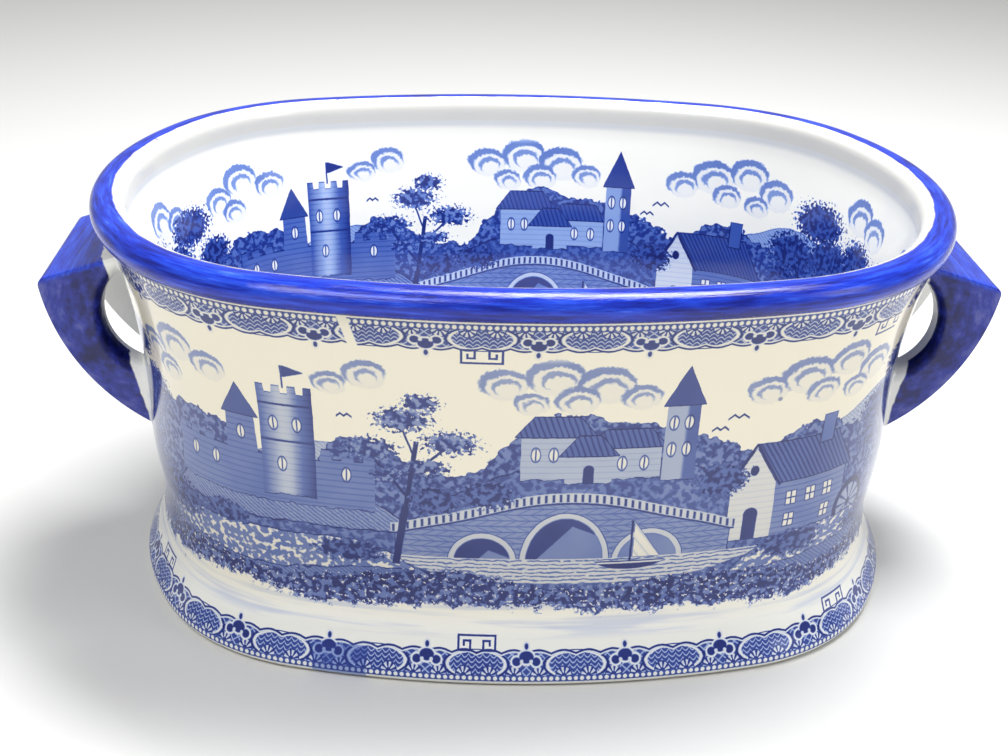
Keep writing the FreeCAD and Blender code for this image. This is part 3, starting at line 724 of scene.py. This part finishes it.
def draw_manor(art, ink, s, t, leaf, lumps, rag):
    """Wooded hill with a manor: two wings, a porch and a spired tower."""
    courses = art.stripes(t, 3.1, 0.16)
    patchy = art.cover(lumps - 0.5, 0.08)
    hill = art.under(s, t, [(-62, 78), (-34, 100), (0, 114), (40, 119), (76, 112), (100, 96), (118, 78)],
                     smooth=True, soft=0.7, rough=rag * 4)
    ink = art.wash(ink, 0.52 + 0.22 * patchy, hill, 0.8)
    for left, right, low, high, peak in ((-6, 26, 108, 130, 141), (26, 58, 108, 124, 134),
                                         (14, 36, 106, 120, 131)):
        wing = art.under(s, t, [(left, 0), (left + 0.4, high), (right - 0.4, high), (right, 0)], soft=0.5)
        ink = art.wash(ink, 0.3 + 0.08 * courses, art.both(wing, art.cover(t - low - rag * 3)), 0.9)
        slope = art.under(s, t, [(left - 3, 0), (left - 2.7, high), (left + 6, peak), (right - 6, peak),
                                 (right + 2.7, high), (right + 3, 0)], soft=0.5)
        tiles = art.stripes(s + (t - high) * 0.35, 2.6, 0.36)
        ink = art.wash(ink, 0.62 + 0.2 * tiles, art.both(slope, art.cover(t - high)), 0.95)
    tower = art.under(s, t, [(58, 0), (58.4, 146), (73.6, 146), (74, 0)], soft=0.5)
    tower = art.both(tower, art.cover(t - 106 - rag * 3))
    ink = art.wash(ink, 0.34 + 0.3 * art.cover(s - 68, 1.2), tower, 0.9)
    spire = art.under(s, t, [(56, 0), (56.3, 145), (66, 166), (75.7, 145), (76, 0)], soft=0.5)
    ink = art.wash(ink, 0.74, art.both(spire, art.cover(t - 145)), 0.95)
    windows = ((1, 121), (9, 121), (40, 116), (50, 116), (62, 136), (69, 136), (62, 122), (69, 122),
               (-117, 129), (-106, 129), (-114, 108), (-134, 121), (-164, 104), (-150, 104), (-84, 106))
    panes = art.either(*(art.disc(s, t, x, y, 2.1, 3.6, 0.5) for x, y in windows))
    ink = art.wash(ink, 0.06, panes, 1.0)
    bars = art.either(*(art.block(s, t, x - 0.3, x + 0.3, y - 3, y + 3) for x, y in windows))
    ink = art.over(ink, 0.9, bars)
    ink = art.over(ink, 0.92, art.either(art.block(s, t, 22.6, 27.4, 106, 113), art.disc(s, t, 25, 113, 2.4)))
    return ink


def draw_mill(art, ink, s, t, leaf, lumps, rag):
    """Mill at the right: lit gable, long roof, lean-to and a chimney."""
    courses = art.stripes(t, 3.1, 0.16)
    ink = art.wash(ink, 0.5 + 0.1 * courses, art.block(s, t, 112, 158, 70, 101, 0.5))
    gable = art.under(s, t, [(92, 0), (92.3, 100), (103.5, 119), (114.7, 100), (115, 0)], soft=0.5)
    ink = art.wash(ink, 0.14 + 0.08 * courses, art.both(gable, art.cover(t - 70)), 0.9)
    tiles = art.under(s, t, [(103, 0), (103.3, 121), (148, 121), (162, 100), (162.4, 0)], soft=0.5)
    eaves = art.curve(s, 103, 163, [(103, 121), (116, 99), (163, 99)])
    rafters = art.stripes(s * 0.9 + t * 0.55, 2.3, 0.4)
    ink = art.wash(ink, 0.62 + 0.24 * rafters, art.both(tiles, art.cover(t - eaves)), 0.95)
    verge = art.either(art.stroke(s, t, (90, 98), (103.6, 121), 1.3),
                       art.stroke(s, t, (103.4, 121), (117, 98), 1.3))
    ink = art.over(ink, 0.95, verge)
    ink = art.wash(ink, 0.55, art.block(s, t, 137, 145, 116, 131, 0.5), 0.95)
    windows = ((124, 90), (135, 90), (146, 90), (124, 78), (146, 78))
    panes = art.either(*(art.block(s, t, x - 2.8, x + 2.8, y - 3.6, y + 3.6, 0.5) for x, y in windows))
    ink = art.wash(ink, 0.05, panes, 1.0)
    bars = art.either(*(art.block(s, t, x - 0.35, x + 0.35, y - 3.4, y + 3.4) for x, y in windows),
                      *(art.block(s, t, x - 2.6, x + 2.6, y - 0.35, y + 0.35) for x, y in windows))
    ink = art.over(ink, 0.9, bars)
    ink = art.over(ink, 0.95, art.disc(s, t, 103.5, 107, 2.1, 2.6))
    ink = art.over(ink, 0.9, art.either(art.block(s, t, 100, 107, 70, 84), art.disc(s, t, 103.5, 84, 3.5)))
    return ink


def draw_wheel(art, ink, s, t, leaf, lumps, rag):
    """Mill wheel."""
    wheel = art.spot(s, t, 166, 75, 12.5, 13.5)
    turn = art.math("ARCTAN2", t - 75, s - 166)
    spokes = art.both(art.stripes(turn, math.pi / 5, 0.2), art.cover(0.9 - wheel, 0.03))
    ink = art.over(ink, 0.4, art.cover(1.0 - wheel, 0.03))
    ink = art.over(ink, 1.0, art.either(art.cover(0.12 - abs(wheel - 0.9), 0.035),
                                        art.cover(0.16 - wheel, 0.04), spokes))
    return ink


def draw_bridge(art, ink, s, t, leaf, lumps, rag):
    """Bridge of three arches over the river."""
    courses = art.stripes(t, 3.1, 0.16)
    deck = art.curve(s, -62, 94, [(-62, 79), (-40, 85), (16, 97), (72, 86), (94, 79)], smooth=True)
    span = art.both(art.cover(deck - t, 0.5), art.cover(t - 63, 0.5), art.cover(78 - abs(s - 16)))
    arches = ((-22, 13, 13), (16, 18, 24), (55, 14, 14.5))
    holes = art.either(*(art.disc(s, t, x, 64, wide, tall, 0.5) for x, wide, tall in arches))
    rings = art.either(*(art.disc(s, t, x, 64, wide + 3, tall + 3, 0.5) for x, wide, tall in arches))
    blocks = art.either(courses, art.stripes(s + art.math("PINGPONG", t, 3.1) * 2.2, 6.2, 0.09))
    ink = art.wash(ink, 0.46 + 0.16 * blocks, span)
    ink = art.over(ink, 0.2 + 0.7 * rings * (1 - rings) * 4, art.both(span, rings))
    ink = art.over(ink, 0.84, art.both(span, holes))
    ink = art.over(ink, 0.5, art.both(span, holes, art.cover(s * 0.35 - t + 62 + art.math("PINGPONG", s,
                                                                                          19) * 0.8)))
    parapet = art.both(art.cover(2.6 - abs(t - deck - 1.6)), art.cover(80 - abs(s - 16)))
    ink = art.over(ink, 0.2, parapet)
    ink = art.over(ink, 0.9, art.both(parapet, art.cover(1.9 - abs(t - deck - 1.6)),
                                      art.stripes(s, 3.3, 0.34)))
    ink = art.over(ink, 0.9, art.both(art.cover(0.45 - abs(t - deck + 1.2)), art.cover(80 - abs(s - 16))))
    return ink


def draw_river(art, ink, s, t, leaf, lumps, rag):
    """River with ripples, and a boat."""
    shore = art.curve(s, -120, 150, [(-120, 68), (-66, 66), (-40, 58), (10, 54), (80, 57), (112, 66),
                                     (150, 68)], smooth=True)
    river = art.both(art.cover(65.5 - t), art.cover(t - shore + 3), art.cover(90 - abs(s - 20)))
    ripple = art.stripes(t + rag * 3, 2.3, 0.36)
    ink = art.over(ink, 0.16 + 0.42 * art.both(ripple, art.cover(lumps - 0.36, 0.1)), river)
    hull = art.disc(s, t, 47, 65, 17, 6.5)
    ink = art.over(ink, 0.92, art.both(hull, art.cover(63.6 - t)))
    ink = art.over(ink, 0.1, art.both(hull, art.cover(0.5 - abs(t - 62.4))))
    ink = art.over(ink, 0.95, art.block(s, t, 46.5, 47.5, 63, 86))
    sail = art.both(art.under(s, t, [(48, 0), (48.2, 85), (61, 66), (61.3, 0)], soft=0.5),
                    art.cover(t - 65.5))
    ink = art.wash(ink, 0.06 + 0.16 * art.stripes(s * 0.7 + t * 0.5, 3.6, 0.2), sail)
    return ink


def draw_banks(art, ink, s, t, leaf, lumps, rag):
    """Banks."""
    left_bank = art.under(s, t, [(-281, 72), (-190, 70), (-110, 72), (-74, 70), (-56, 60), (-40, 40),
                                 (-39, 0)], smooth=True, soft=0.6, rough=rag * 3)
    right_bank = art.under(s, t, [(92, 0), (93, 40), (104, 60), (122, 69), (180, 70), (281, 72)],
                           smooth=True, soft=0.6, rough=rag * 3)
    ink = art.wash(ink, 0.52 - 0.46 * art.cover(lumps - 0.56, 0.05), art.either(left_bank, right_bank), 0.8)
    return ink


def draw_trees(art, ink, s, t, leaf, lumps, rag):
    """A tall open tree left of the bridge, broad ones towards the ends and thickets at their feet."""
    branches = (((-62, 60), (-57, 92), 3.4), ((-57, 91), (-52, 126), 2.2), ((-57, 98), (-73, 118), 1.2),
                ((-55, 108), (-38, 124), 1.1), ((-53, 118), (-60, 137), 0.9), ((207, 56), (203, 112), 5.0),
                ((203, 96), (186, 122), 2.0), ((203, 98), (222, 126), 2.2), ((-214, 54), (-219, 112), 4.6),
                ((-218, 96), (-236, 126), 2.0), ((-218, 92), (-200, 122), 1.8))
    ink = art.over(ink, 0.95, art.either(*(art.stroke(s, t, *branch) for branch in branches)))
    ink = leaves(art, ink, s, t, ((-73, 121, 11, 5.5), (-58, 137, 12, 6), (-37, 126, 12, 5.5),
                                  (-47, 113, 9, 3.6), (-66, 108, 7, 3), (-50, 146, 8, 4.5)), leaf, lumps,
                 0.88, 0.46, 1.3)
    ink = leaves(art, ink, s, t, ((184, 124, 18, 10), (220, 128, 20, 12), (203, 145, 20, 11),
                                  (232, 108, 18, 11), (178, 107, 11, 6), (245, 135, 16, 12),
                                  (262, 118, 20, 22)), leaf, lumps, 0.94, 0.6, 0.9)
    ink = leaves(art, ink, s, t, ((-240, 128, 18, 12), (-200, 124, 15, 9), (-220, 144, 20, 10),
                                  (-250, 108, 16, 11), (-262, 126, 18, 20)), leaf, lumps, 0.94, 0.6, 0.9)
    ink = leaves(art, ink, s, t, ((-268, 88, 30, 34), (268, 86, 32, 34), (-196, 72, 30, 12),
                                  (238, 70, 34, 16), (-84, 66, 16, 6), (128, 64, 18, 7), (184, 62, 18, 8),
                                  (-146, 76, 12, 6), (-20, 100, 12, 7), (88, 104, 12, 8), (-44, 96, 11, 7)),
                 leaf, lumps, 0.94, 0.58, 0.8)
    return ink


def draw_foreground(art, ink, s, t, leaf, lumps, rag):
    """Foreground: banks of earth with dark shrubs on them, white gaps and a ragged lower edge."""
    slant = hatching(art, s, t, leaf)
    earth = art.both(art.under(s, t, [(-281, 60), (-200, 56), (-130, 51), (-60, 57), (0, 49), (60, 46),
                                      (130, 54), (210, 58), (281, 60)], smooth=True, soft=0.6,
                               rough=rag * 5), art.cover(t - 43 + rag * 8))
    ink = art.wash(ink, 0.5 + 0.1 * slant, earth, 0.8)
    middle = art.curve(s, -281, 281, [(-281, 46), (-215, 43), (-150, 45), (-96, 42), (-40, 48), (20, 42),
                                      (80, 44), (140, 41), (205, 46), (281, 46)], smooth=True)
    body = art.curve(s, -281, 281, [(-281, 12), (-190, 9), (-140, 4.5), (-90, 8), (-30, 9.5), (10, 5),
                                    (60, 8), (110, 9), (160, 5.5), (220, 10), (281, 12)], tall=50,
                     smooth=True)
    shrubs = art.cover(body + rag * 13 + (leaf - 0.5) * 9 - abs(t - middle), 1.0)
    ink = art.over(ink, 0.52 + 0.42 * art.cover(lumps - 0.48, 0.06), shrubs)
    ink = art.either(shrubs, art.cover(t - middle + rag * 6, 0.8)) * ink
    ink = art.over(ink, 0.1, art.both(shrubs, art.cover(leaf - 0.63, 0.04)))
    return ink


def draw_birds(art, ink, s, t, leaf, lumps, rag):
    """Birds."""
    flock = []
    for x, y, wide in ((92, 138, 5), (84, 132, 4), (-84, 138, 3.5)):
        wing = art.cover(0.55 - abs(t - y + abs(abs(s - x) - wide * 0.45) * 0.8), 0.3)
        flock.append(art.both(wing, art.cover(wide - abs(s - x))))
    ink = art.over(ink, 0.9, art.either(*flock))
    return ink


LANDSCAPE = (draw_clouds, draw_hills, draw_castle, draw_manor, draw_mill, draw_wheel,
             draw_bridge, draw_river, draw_banks, draw_trees, draw_foreground, draw_birds)


def draw_border(art, s, e):
    """A running border: a row of beads, diaper and scale panels, scallops, sceptre heads and key frets."""
    period = PANEL / 6
    q = art.math("PINGPONG", s + PANEL * 2, period / 2) - period / 4
    wing = art.math("PINGPONG", s + PANEL * 2, period / 4)
    edge = 13.2 + 1.5 * art.math("SINE", art.math("PINGPONG", s, period / 16) * (math.pi * 8 / period))
    band = art.cover(edge - e, 0.3)
    ink = art.over(0.0, 0.74, band)
    # diaper lattice with dots
    one, two = art.stripes(s * 0.8 + e, 3.6, 0.2), art.stripes(s * 0.8 - e, 3.6, 0.2)
    ink = art.over(ink, 0.22, art.both(band, art.either(one, two)))
    # scale panels with an outline
    panel = art.spot(q, e, 0.0, 8.3, 13.5, 5.6)
    rows = art.stripes(e + 1.5 * abs(art.math("SINE", s * (math.pi / 3.4))), 2.1, 0.3)
    ink = art.over(ink, 0.75 - 0.5 * rows, art.cover(1 - panel, 0.05))
    ink = art.over(ink, 0.05, art.cover(0.06 - abs(panel - 1.0), 0.04))
    ink = art.over(ink, 0.95, art.cover(0.04 - abs(panel - 1.12), 0.03))
    # half flowers along the upper line
    flower = art.spot(art.math("PINGPONG", s, period / 8) - period / 16, e, 0.0, 3.6, 3.6, 3.8)
    turn = art.math("ARCTAN2", e - 3.6, art.math("PINGPONG", s, period / 8) - period / 16)
    petals = art.stripes(turn, math.pi / 4.5, 0.55)
    ink = art.over(ink, 0.85, art.cover(1.12 - flower, 0.06))
    ink = art.over(ink, 0.12, art.both(art.cover(1 - flower, 0.06), petals))
    ink = art.over(ink, 0.8, art.cover(0.36 - flower, 0.06))
    # lower line: pale, then dark
    ink = art.over(ink, 0.1, art.cover(0.4 - abs(edge - e - 1.0), 0.2))
    ink = art.over(ink, 0.9, art.cover(0.45 - abs(edge - e - 0.2), 0.2))
    # bead row and the line above it
    bead = art.disc(art.math("PINGPONG", s, 1.45), e, 0.0, 2.3, 1.0, 1.15, 0.3)
    ink = art.over(ink, 0.74, art.cover(1.6 - abs(e - 2.2), 0.25))
    ink = art.over(ink, 0.0, bead)
    ink = art.over(ink, 0.0, art.cover(0.5 - e, 0.2))
    # sceptre heads between the panels, with a key fret below every second one
    head = art.either(art.disc(wing, e, 0.0, 11.5, 4.4, 3.6), art.disc(wing, e, 4.6, 9.6, 3.0, 2.8),
                      art.disc(wing, e, 0.0, 16.4, 1.8, 2.4))
    core = art.either(art.disc(wing, e, 0.0, 11.5, 3.4, 2.6), art.disc(wing, e, 4.6, 9.6, 2.0, 1.8),
                      art.disc(wing, e, 0.0, 16.2, 0.9, 1.4))
    ink = art.over(ink, 0.06, head)
    ink = art.over(ink, 0.9, core)
    ink = art.over(ink, 0.1, art.disc(wing, e, 2.2, 9.6, 0.9))
    slow = art.math("PINGPONG", s + period / 4, period)
    key = art.either(*(art.block(slow, e, left, right, low, high, 0.2) for left, right, low, high in (
        (-1, 9.2, 20.4, 21.4), (8.2, 9.2, 13.6, 21.4), (2.6, 9.2, 13.6, 14.6), (2.6, 3.6, 13.6, 18.9),
        (2.6, 6.6, 17.9, 18.9), (5.6, 6.6, 16.0, 18.9))))
    ink = art.over(ink, 0.85, key)
    return ink


def printed_glaze():
    material, art = new_material("printed_glaze")
    place = art.node("ShaderNodeTexCoord")
    position = Field(art, place.outputs["Object"])
    xyz = art.node("ShaderNodeSeparateXYZ", {0: position})
    wrap = art.node("ShaderNodeUVMap", uv_map="wrap")
    uv = art.node("ShaderNodeSeparateXYZ", {0: Field(art, wrap.outputs[0])})
    z = Field(art, xyz.outputs[2]) * 1000
    way, profile = Field(art, uv.outputs[0]), Field(art, uv.outputs[1])
    inside = art.cover(-20 - profile, 0.5)
    s = (art.math("FRACT", way * 2) - 0.5) * PANEL * (1 - 2 * inside)
    t = z - INSIDE_LIFT * inside
    spread = art.vector(s, t, inside * 40)
    rag = art.noise(spread, 0.16, 2.0) - 0.5
    leaf = art.noise(spread, 0.55, 2.0)
    lumps = art.noise(spread, 0.3, 1.0)
    wash = art.noise(spread, 0.035, 2.0)
    # the valley runs all round, inside and out, and borders lie outside under the rim and at the foot
    scene = 0.0
    shaky_s, shaky_t = s + rag * 0.7, t + (leaf - 0.5) * 0.5
    for draw in LANDSCAPE:
        scene = art.layer(draw, ink=scene, s=shaky_s, t=shaky_t, leaf=leaf, lumps=lumps, rag=rag)
    scene = scene * art.cover(PRINT_TOP - t, 3)
    upper = art.cover(z - 110)
    e = art.over(z - BORDER_FOOT, BORDER_TOP - z, upper)
    edging = art.layer(draw_border, s=s + (leaf - 0.5) * 0.4, e=e + (leaf - 0.5) * 0.3)
    # slanting seams where two lengths of border meet, and one place where they lap
    gap = art.either(art.cover(2.2 - abs(s + 79 + (z - 180) * 0.25), 0.4),
                     art.cover(2.6 - abs(s - 176 - (z - 180) * 0.3), 0.4))
    edging = edging * (1 - art.both(upper, gap)) * (1 - inside) * art.cover(BORDER_END - profile)
    lapped = art.both(1 - upper, art.cover(13 - abs(s + 88)), art.cover(13 - e)) * (1 - inside)
    edging = art.over(edging, edging * 0.6 + 0.34, lapped)
    ink = art.either(scene, edging)
    # smears of blue in the bare glaze above the foot
    smear = art.noise(art.vector(s * 0.012, t * 0.22, 7.0), 1.0, 3.0)
    ink = art.either(ink, art.both(art.cover(smear - 0.56, 0.1), art.cover(10 - abs(t - 34), 3)) * 0.16)
    ink = ink * (0.86 + 0.28 * wash)
    ground = art.tint(IVORY, COOL_WHITE, art.either(inside, art.cover(34 - z, 14)))
    ends = art.either(inside, art.cover(28 - z, 8) * 0.45, art.cover(abs(s) - 205, 20))
    bare, places = (1, 1, 1), (0.0, 0.3, 0.55, 0.8, 1.0)
    pale, deep = (art.ramp(ink, list(zip(places, (bare, *inks)))) for inks in (INKS, DEEP_INKS))
    colour = art.node("ShaderNodeMix", {0: 1.0, 6: ground, 7: art.tint(pale, deep, ends)},
                      data_type="RGBA", blend_type="MULTIPLY")
    colour = Field(art, colour.outputs[2])
    # painted shade on the lip inside the rim, and stray specks
    colour = art.tint(colour, srgb(196, 200, 206), art.cover(9 - abs(profile + 15), 2) * 0.6)
    speck = art.cells(position, 26.0)
    colour = art.tint(colour, srgb(60, 72, 140), art.cover(0.03 - speck, 0.012) * 0.7)
    # cobalt on the rim, brushed along it, and darkened by painted shade on the roll's lower, outer side
    brush = art.noise(art.vector(way * 48, profile * 0.5, 1.0), 1.0, 4.0, 0.65)
    blotch = art.noise(art.vector(way * 26, profile * 0.05, 4.0), 1.0, 2.0)
    tone = brush * 1.5 + blotch * 0.7 - 0.66 - 0.022 * art.math("MAXIMUM", profile - 9, 0.0)
    paint = art.ramp(tone, [(0.15, COBALT[0]), (0.42, COBALT[1]), (0.66, COBALT[2]), (0.9, COBALT[3])])
    waver = (art.noise(art.vector(way * 90, 0.0, 9.0), 1.0, 3.0) - 0.5) * 1.8
    rim = art.both(art.cover(profile - PAINT_INSIDE + waver, 0.6),
                   art.cover(PAINT_OUTSIDE + waver * 0.2 - profile, 0.5))
    colour = art.tint(colour, paint, rim)
    swell = art.noise(position, 14.0, 2.0) + 0.3 * brush * rim
    foot = art.cover(0.6 - z, 0.4)
    colour = art.tint(colour, srgb(196, 184, 162), foot)
    art.glaze(colour, 0.12 + 0.5 * foot, swell, 1.2)
    return material


def cobalt_glaze():
    material, art = new_material("cobalt_glaze")
    place = art.node("ShaderNodeTexCoord")
    position = Field(art, place.outputs["Object"])
    xyz = art.node("ShaderNodeSeparateXYZ", {0: position})
    x, y, z = (Field(art, output) * 1000 for output in xyz.outputs)
    # the two handles are painted differently: left eases from the right end of the pot to the left one
    left = art.cover(0.0 - x, LEFT_EASE)
    x = abs(x)
    rise = z - FLARE_HEIGHT
    out = x - WALL_X - rise * rise / (2 * FLARE_RADIUS) + y * y / 372
    brush = art.noise(art.vector(x * 0.4 + z * 0.1, y * 0.028, z * 0.2), 1.0, 4.0, 0.65)
    # the top in a brighter cobalt than the sides: painted light where it faces up
    top = art.cover(z - HANDLE_TOP - (x - ROOT_X) * TOP_SLOPE + 2.2, 1.2)
    lit_top = art.ramp(brush, [(0.25, COBALT[0]), (0.45, COBALT[1]), (0.62, COBALT[2]), (0.85, COBALT[3])])
    # the legs' sides: a mottled paint brushed along the leg, made darker than the top as painted shade, and
    # lighter towards its outer edge, where the paint thins and a sheen is painted in
    gap_x, gap_z = x - GAP_CENTRE[0], z - GAP_CENTRE[1]
    gap = art.math("SQRT", gap_x * gap_x + gap_z * gap_z)
    turn = art.math("ARCTAN2", gap_z, gap_x)
    mottle = art.noise(art.vector(gap * 0.22, turn * 4.5, y * 0.15), 1.0, 4.0, 0.6)
    blot = art.noise(position, 75.0, 3.0, 0.6)
    sheen = art.curve(gap, 28, 75, [(28, 20), (34, 60), (44, 84), (56, 120), (75, 170)], smooth=True) / 200
    shaded_sides = art.ramp(mottle * 0.55 + blot * 0.35 + sheen * 0.4 - 0.12,
                    [(0.28, srgb(8, 10, 54)), (0.42, srgb(20, 26, 98)), (0.54, srgb(40, 52, 150)),
                     (0.72, srgb(100, 104, 168))])
    paint = art.tint(shaded_sides, lit_top, top)
    # bare glaze by the wall, wider above the feet, and round the inside of the arch
    waver = (art.noise(position, 70.0, 3.0) - 0.5) * 5
    strip = art.over(art.over(3.0, 8.0, left), 7.0, art.cover(GAP_CENTRE[1] - z))
    strip = strip - art.math("MAXIMUM", 118 - z, 0.0) * 0.2
    inner = art.cover(HANDLE_HALF - LEG_WIDTH + art.over(9.0, 3.5, left) - abs(y) + waver * 0.4, 0.8)
    faces = art.cover(HANDLE_HALF - LEG_WIDTH + 1.5 - abs(y), 0.8)
    inside = art.either(art.both(inner, art.cover(GAP_RADIUS + 4 - gap, 0.6)),
                        art.both(faces, art.cover(HANDLE_TOP - BAR + 1 + (x - ROOT_X) * TOP_SLOPE - z, 0.8)))
    bare = art.either(art.cover(strip + waver - out, 0.5), inside)
    colour = art.tint(paint, COOL_WHITE, bare)
    swell = art.noise(position, 22.0, 2.0) + 0.35 * brush
    art.glaze(colour, 0.13, swell, 1.0)
    return material


def white_glaze():
    material, art = new_material("slip_glaze")
    place = art.node("ShaderNodeTexCoord")
    position = Field(art, place.outputs["Object"])
    patch = art.noise(position, 60.0, 3.0)
    colour = art.ramp(patch, [(0.3, srgb(206, 210, 222)), (0.6, COOL_WHITE), (0.8, srgb(176, 186, 220))])
    art.glaze(colour, 0.14, patch, 0.6)
    return material


def plain(name, colour, roughness):
    material = bpy.data.materials.new(name)
    material.use_nodes = True
    shader = material.node_tree.nodes["Principled BSDF"]
    shader.inputs["Base Color"].default_value = (*colour, 1)
    shader.inputs["Roughness"].default_value = roughness
    return material


glaze, cobalt, slip = printed_glaze(), cobalt_glaze(), white_glaze()
vessel = make_vessel(glaze)
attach(vessel, "root")
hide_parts("vessel_body")
for word, side in (("right", 1), ("left", -1)):
    handle = make_handle(f"{word}_ear", cobalt, side)
    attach(handle, "root")
    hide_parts(f"{word}_handle")
    leg_middle = HANDLE_HALF - LEG_WIDTH / 2
    for level, low, high, pads in (
            ("upper", gap_top, top_line, [(0, HANDLE_HALF)]),
            ("lower", back_arc, gap_foot, [(leg_middle, LEG_WIDTH / 2), (-leg_middle, LEG_WIDTH / 2)])):
        fillet = make_slip(f"{word}_{level}_fillet", slip, side, low, high, pads)
        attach(fillet, "root")
        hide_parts(f"{word}_{level}_slip_joint")

# Stage: a plain pale floor, soft light and a camera at the photograph's angle
bm = bmesh.new()
bmesh.ops.create_grid(bm, x_segments=1, y_segments=1, size=6.0)
floor = finish_mesh(bm, "floor", plain("floor", (0.72, 0.72, 0.71), 0.6))
floor.location.z = -0.0002

YAW, PITCH, ROLL = 0.045, 0.4235, 0.0265
DISTANCE, FOCAL_PIXELS, PICTURE_WIDTH = 0.858, 1600.0, 1008.0
AIM_X, AIM_Z = -0.00727, 0.0909


def from_turned(x, y, z):
    """A point of the frame that is turned with the camera, in the object's frame."""
    c, s = math.cos(YAW), math.sin(YAW)
    return Vector((x * c + y * s, -x * s + y * c, z))


camera_data = bpy.data.cameras.new("camera")
camera_data.sensor_fit = "HORIZONTAL"
camera_data.sensor_width = 36.0
camera_data.lens = FOCAL_PIXELS / PICTURE_WIDTH * camera_data.sensor_width
camera = bpy.data.objects.new("camera", camera_data)
right = from_turned(1, 0, 0)
back = from_turned(0, -math.cos(PITCH), math.sin(PITCH))
up = back.cross(right)
c, s = math.cos(ROLL), math.sin(ROLL)
right, up = right * c + up * s, up * c - right * s
place = from_turned(AIM_X, -DISTANCE * math.cos(PITCH), AIM_Z + DISTANCE * math.sin(PITCH))
camera.matrix_world = Matrix((
    (right.x, up.x, back.x, place.x),
    (right.y, up.y, back.y, place.y),
    (right.z, up.z, back.z, place.z),
    (0, 0, 0, 1),
))
bpy.context.scene.collection.objects.link(camera)
bpy.context.scene.camera = camera


def area_light(name, place, aim, size, power, colour=(1, 1, 1)):
    data = bpy.data.lights.new(name, "AREA")
    data.shape = "RECTANGLE"
    data.size, data.size_y = size
    data.energy = power
    data.color = colour
    light = bpy.data.objects.new(name, data)
    light.location = place
    light.rotation_euler = (Vector(aim) - Vector(place)).to_track_quat("-Z", "Y").to_euler()
    bpy.context.scene.collection.objects.link(light)
    return light


area_light("key", (-0.55, -0.9, 1.25), (0, 0, 0.1), (0.7, 0.5), 11)
area_light("top", (0.25, 0.25, 1.5), (0, 0, 0.1), (1.0, 0.5), 38)
area_light("fill", (1.3, -0.8, 0.7), (0, 0, 0.1), (0.6, 0.8), 5)
bpy.context.scene.view_settings.view_transform = "Standard"
world = bpy.data.worlds.new("studio")
world.use_nodes = True
world.node_tree.nodes["Background"].inputs["Color"].default_value = (0.93, 0.93, 0.92, 1)
world.node_tree.nodes["Background"].inputs["Strength"].default_value = 0.36
bpy.context.scene.world = world
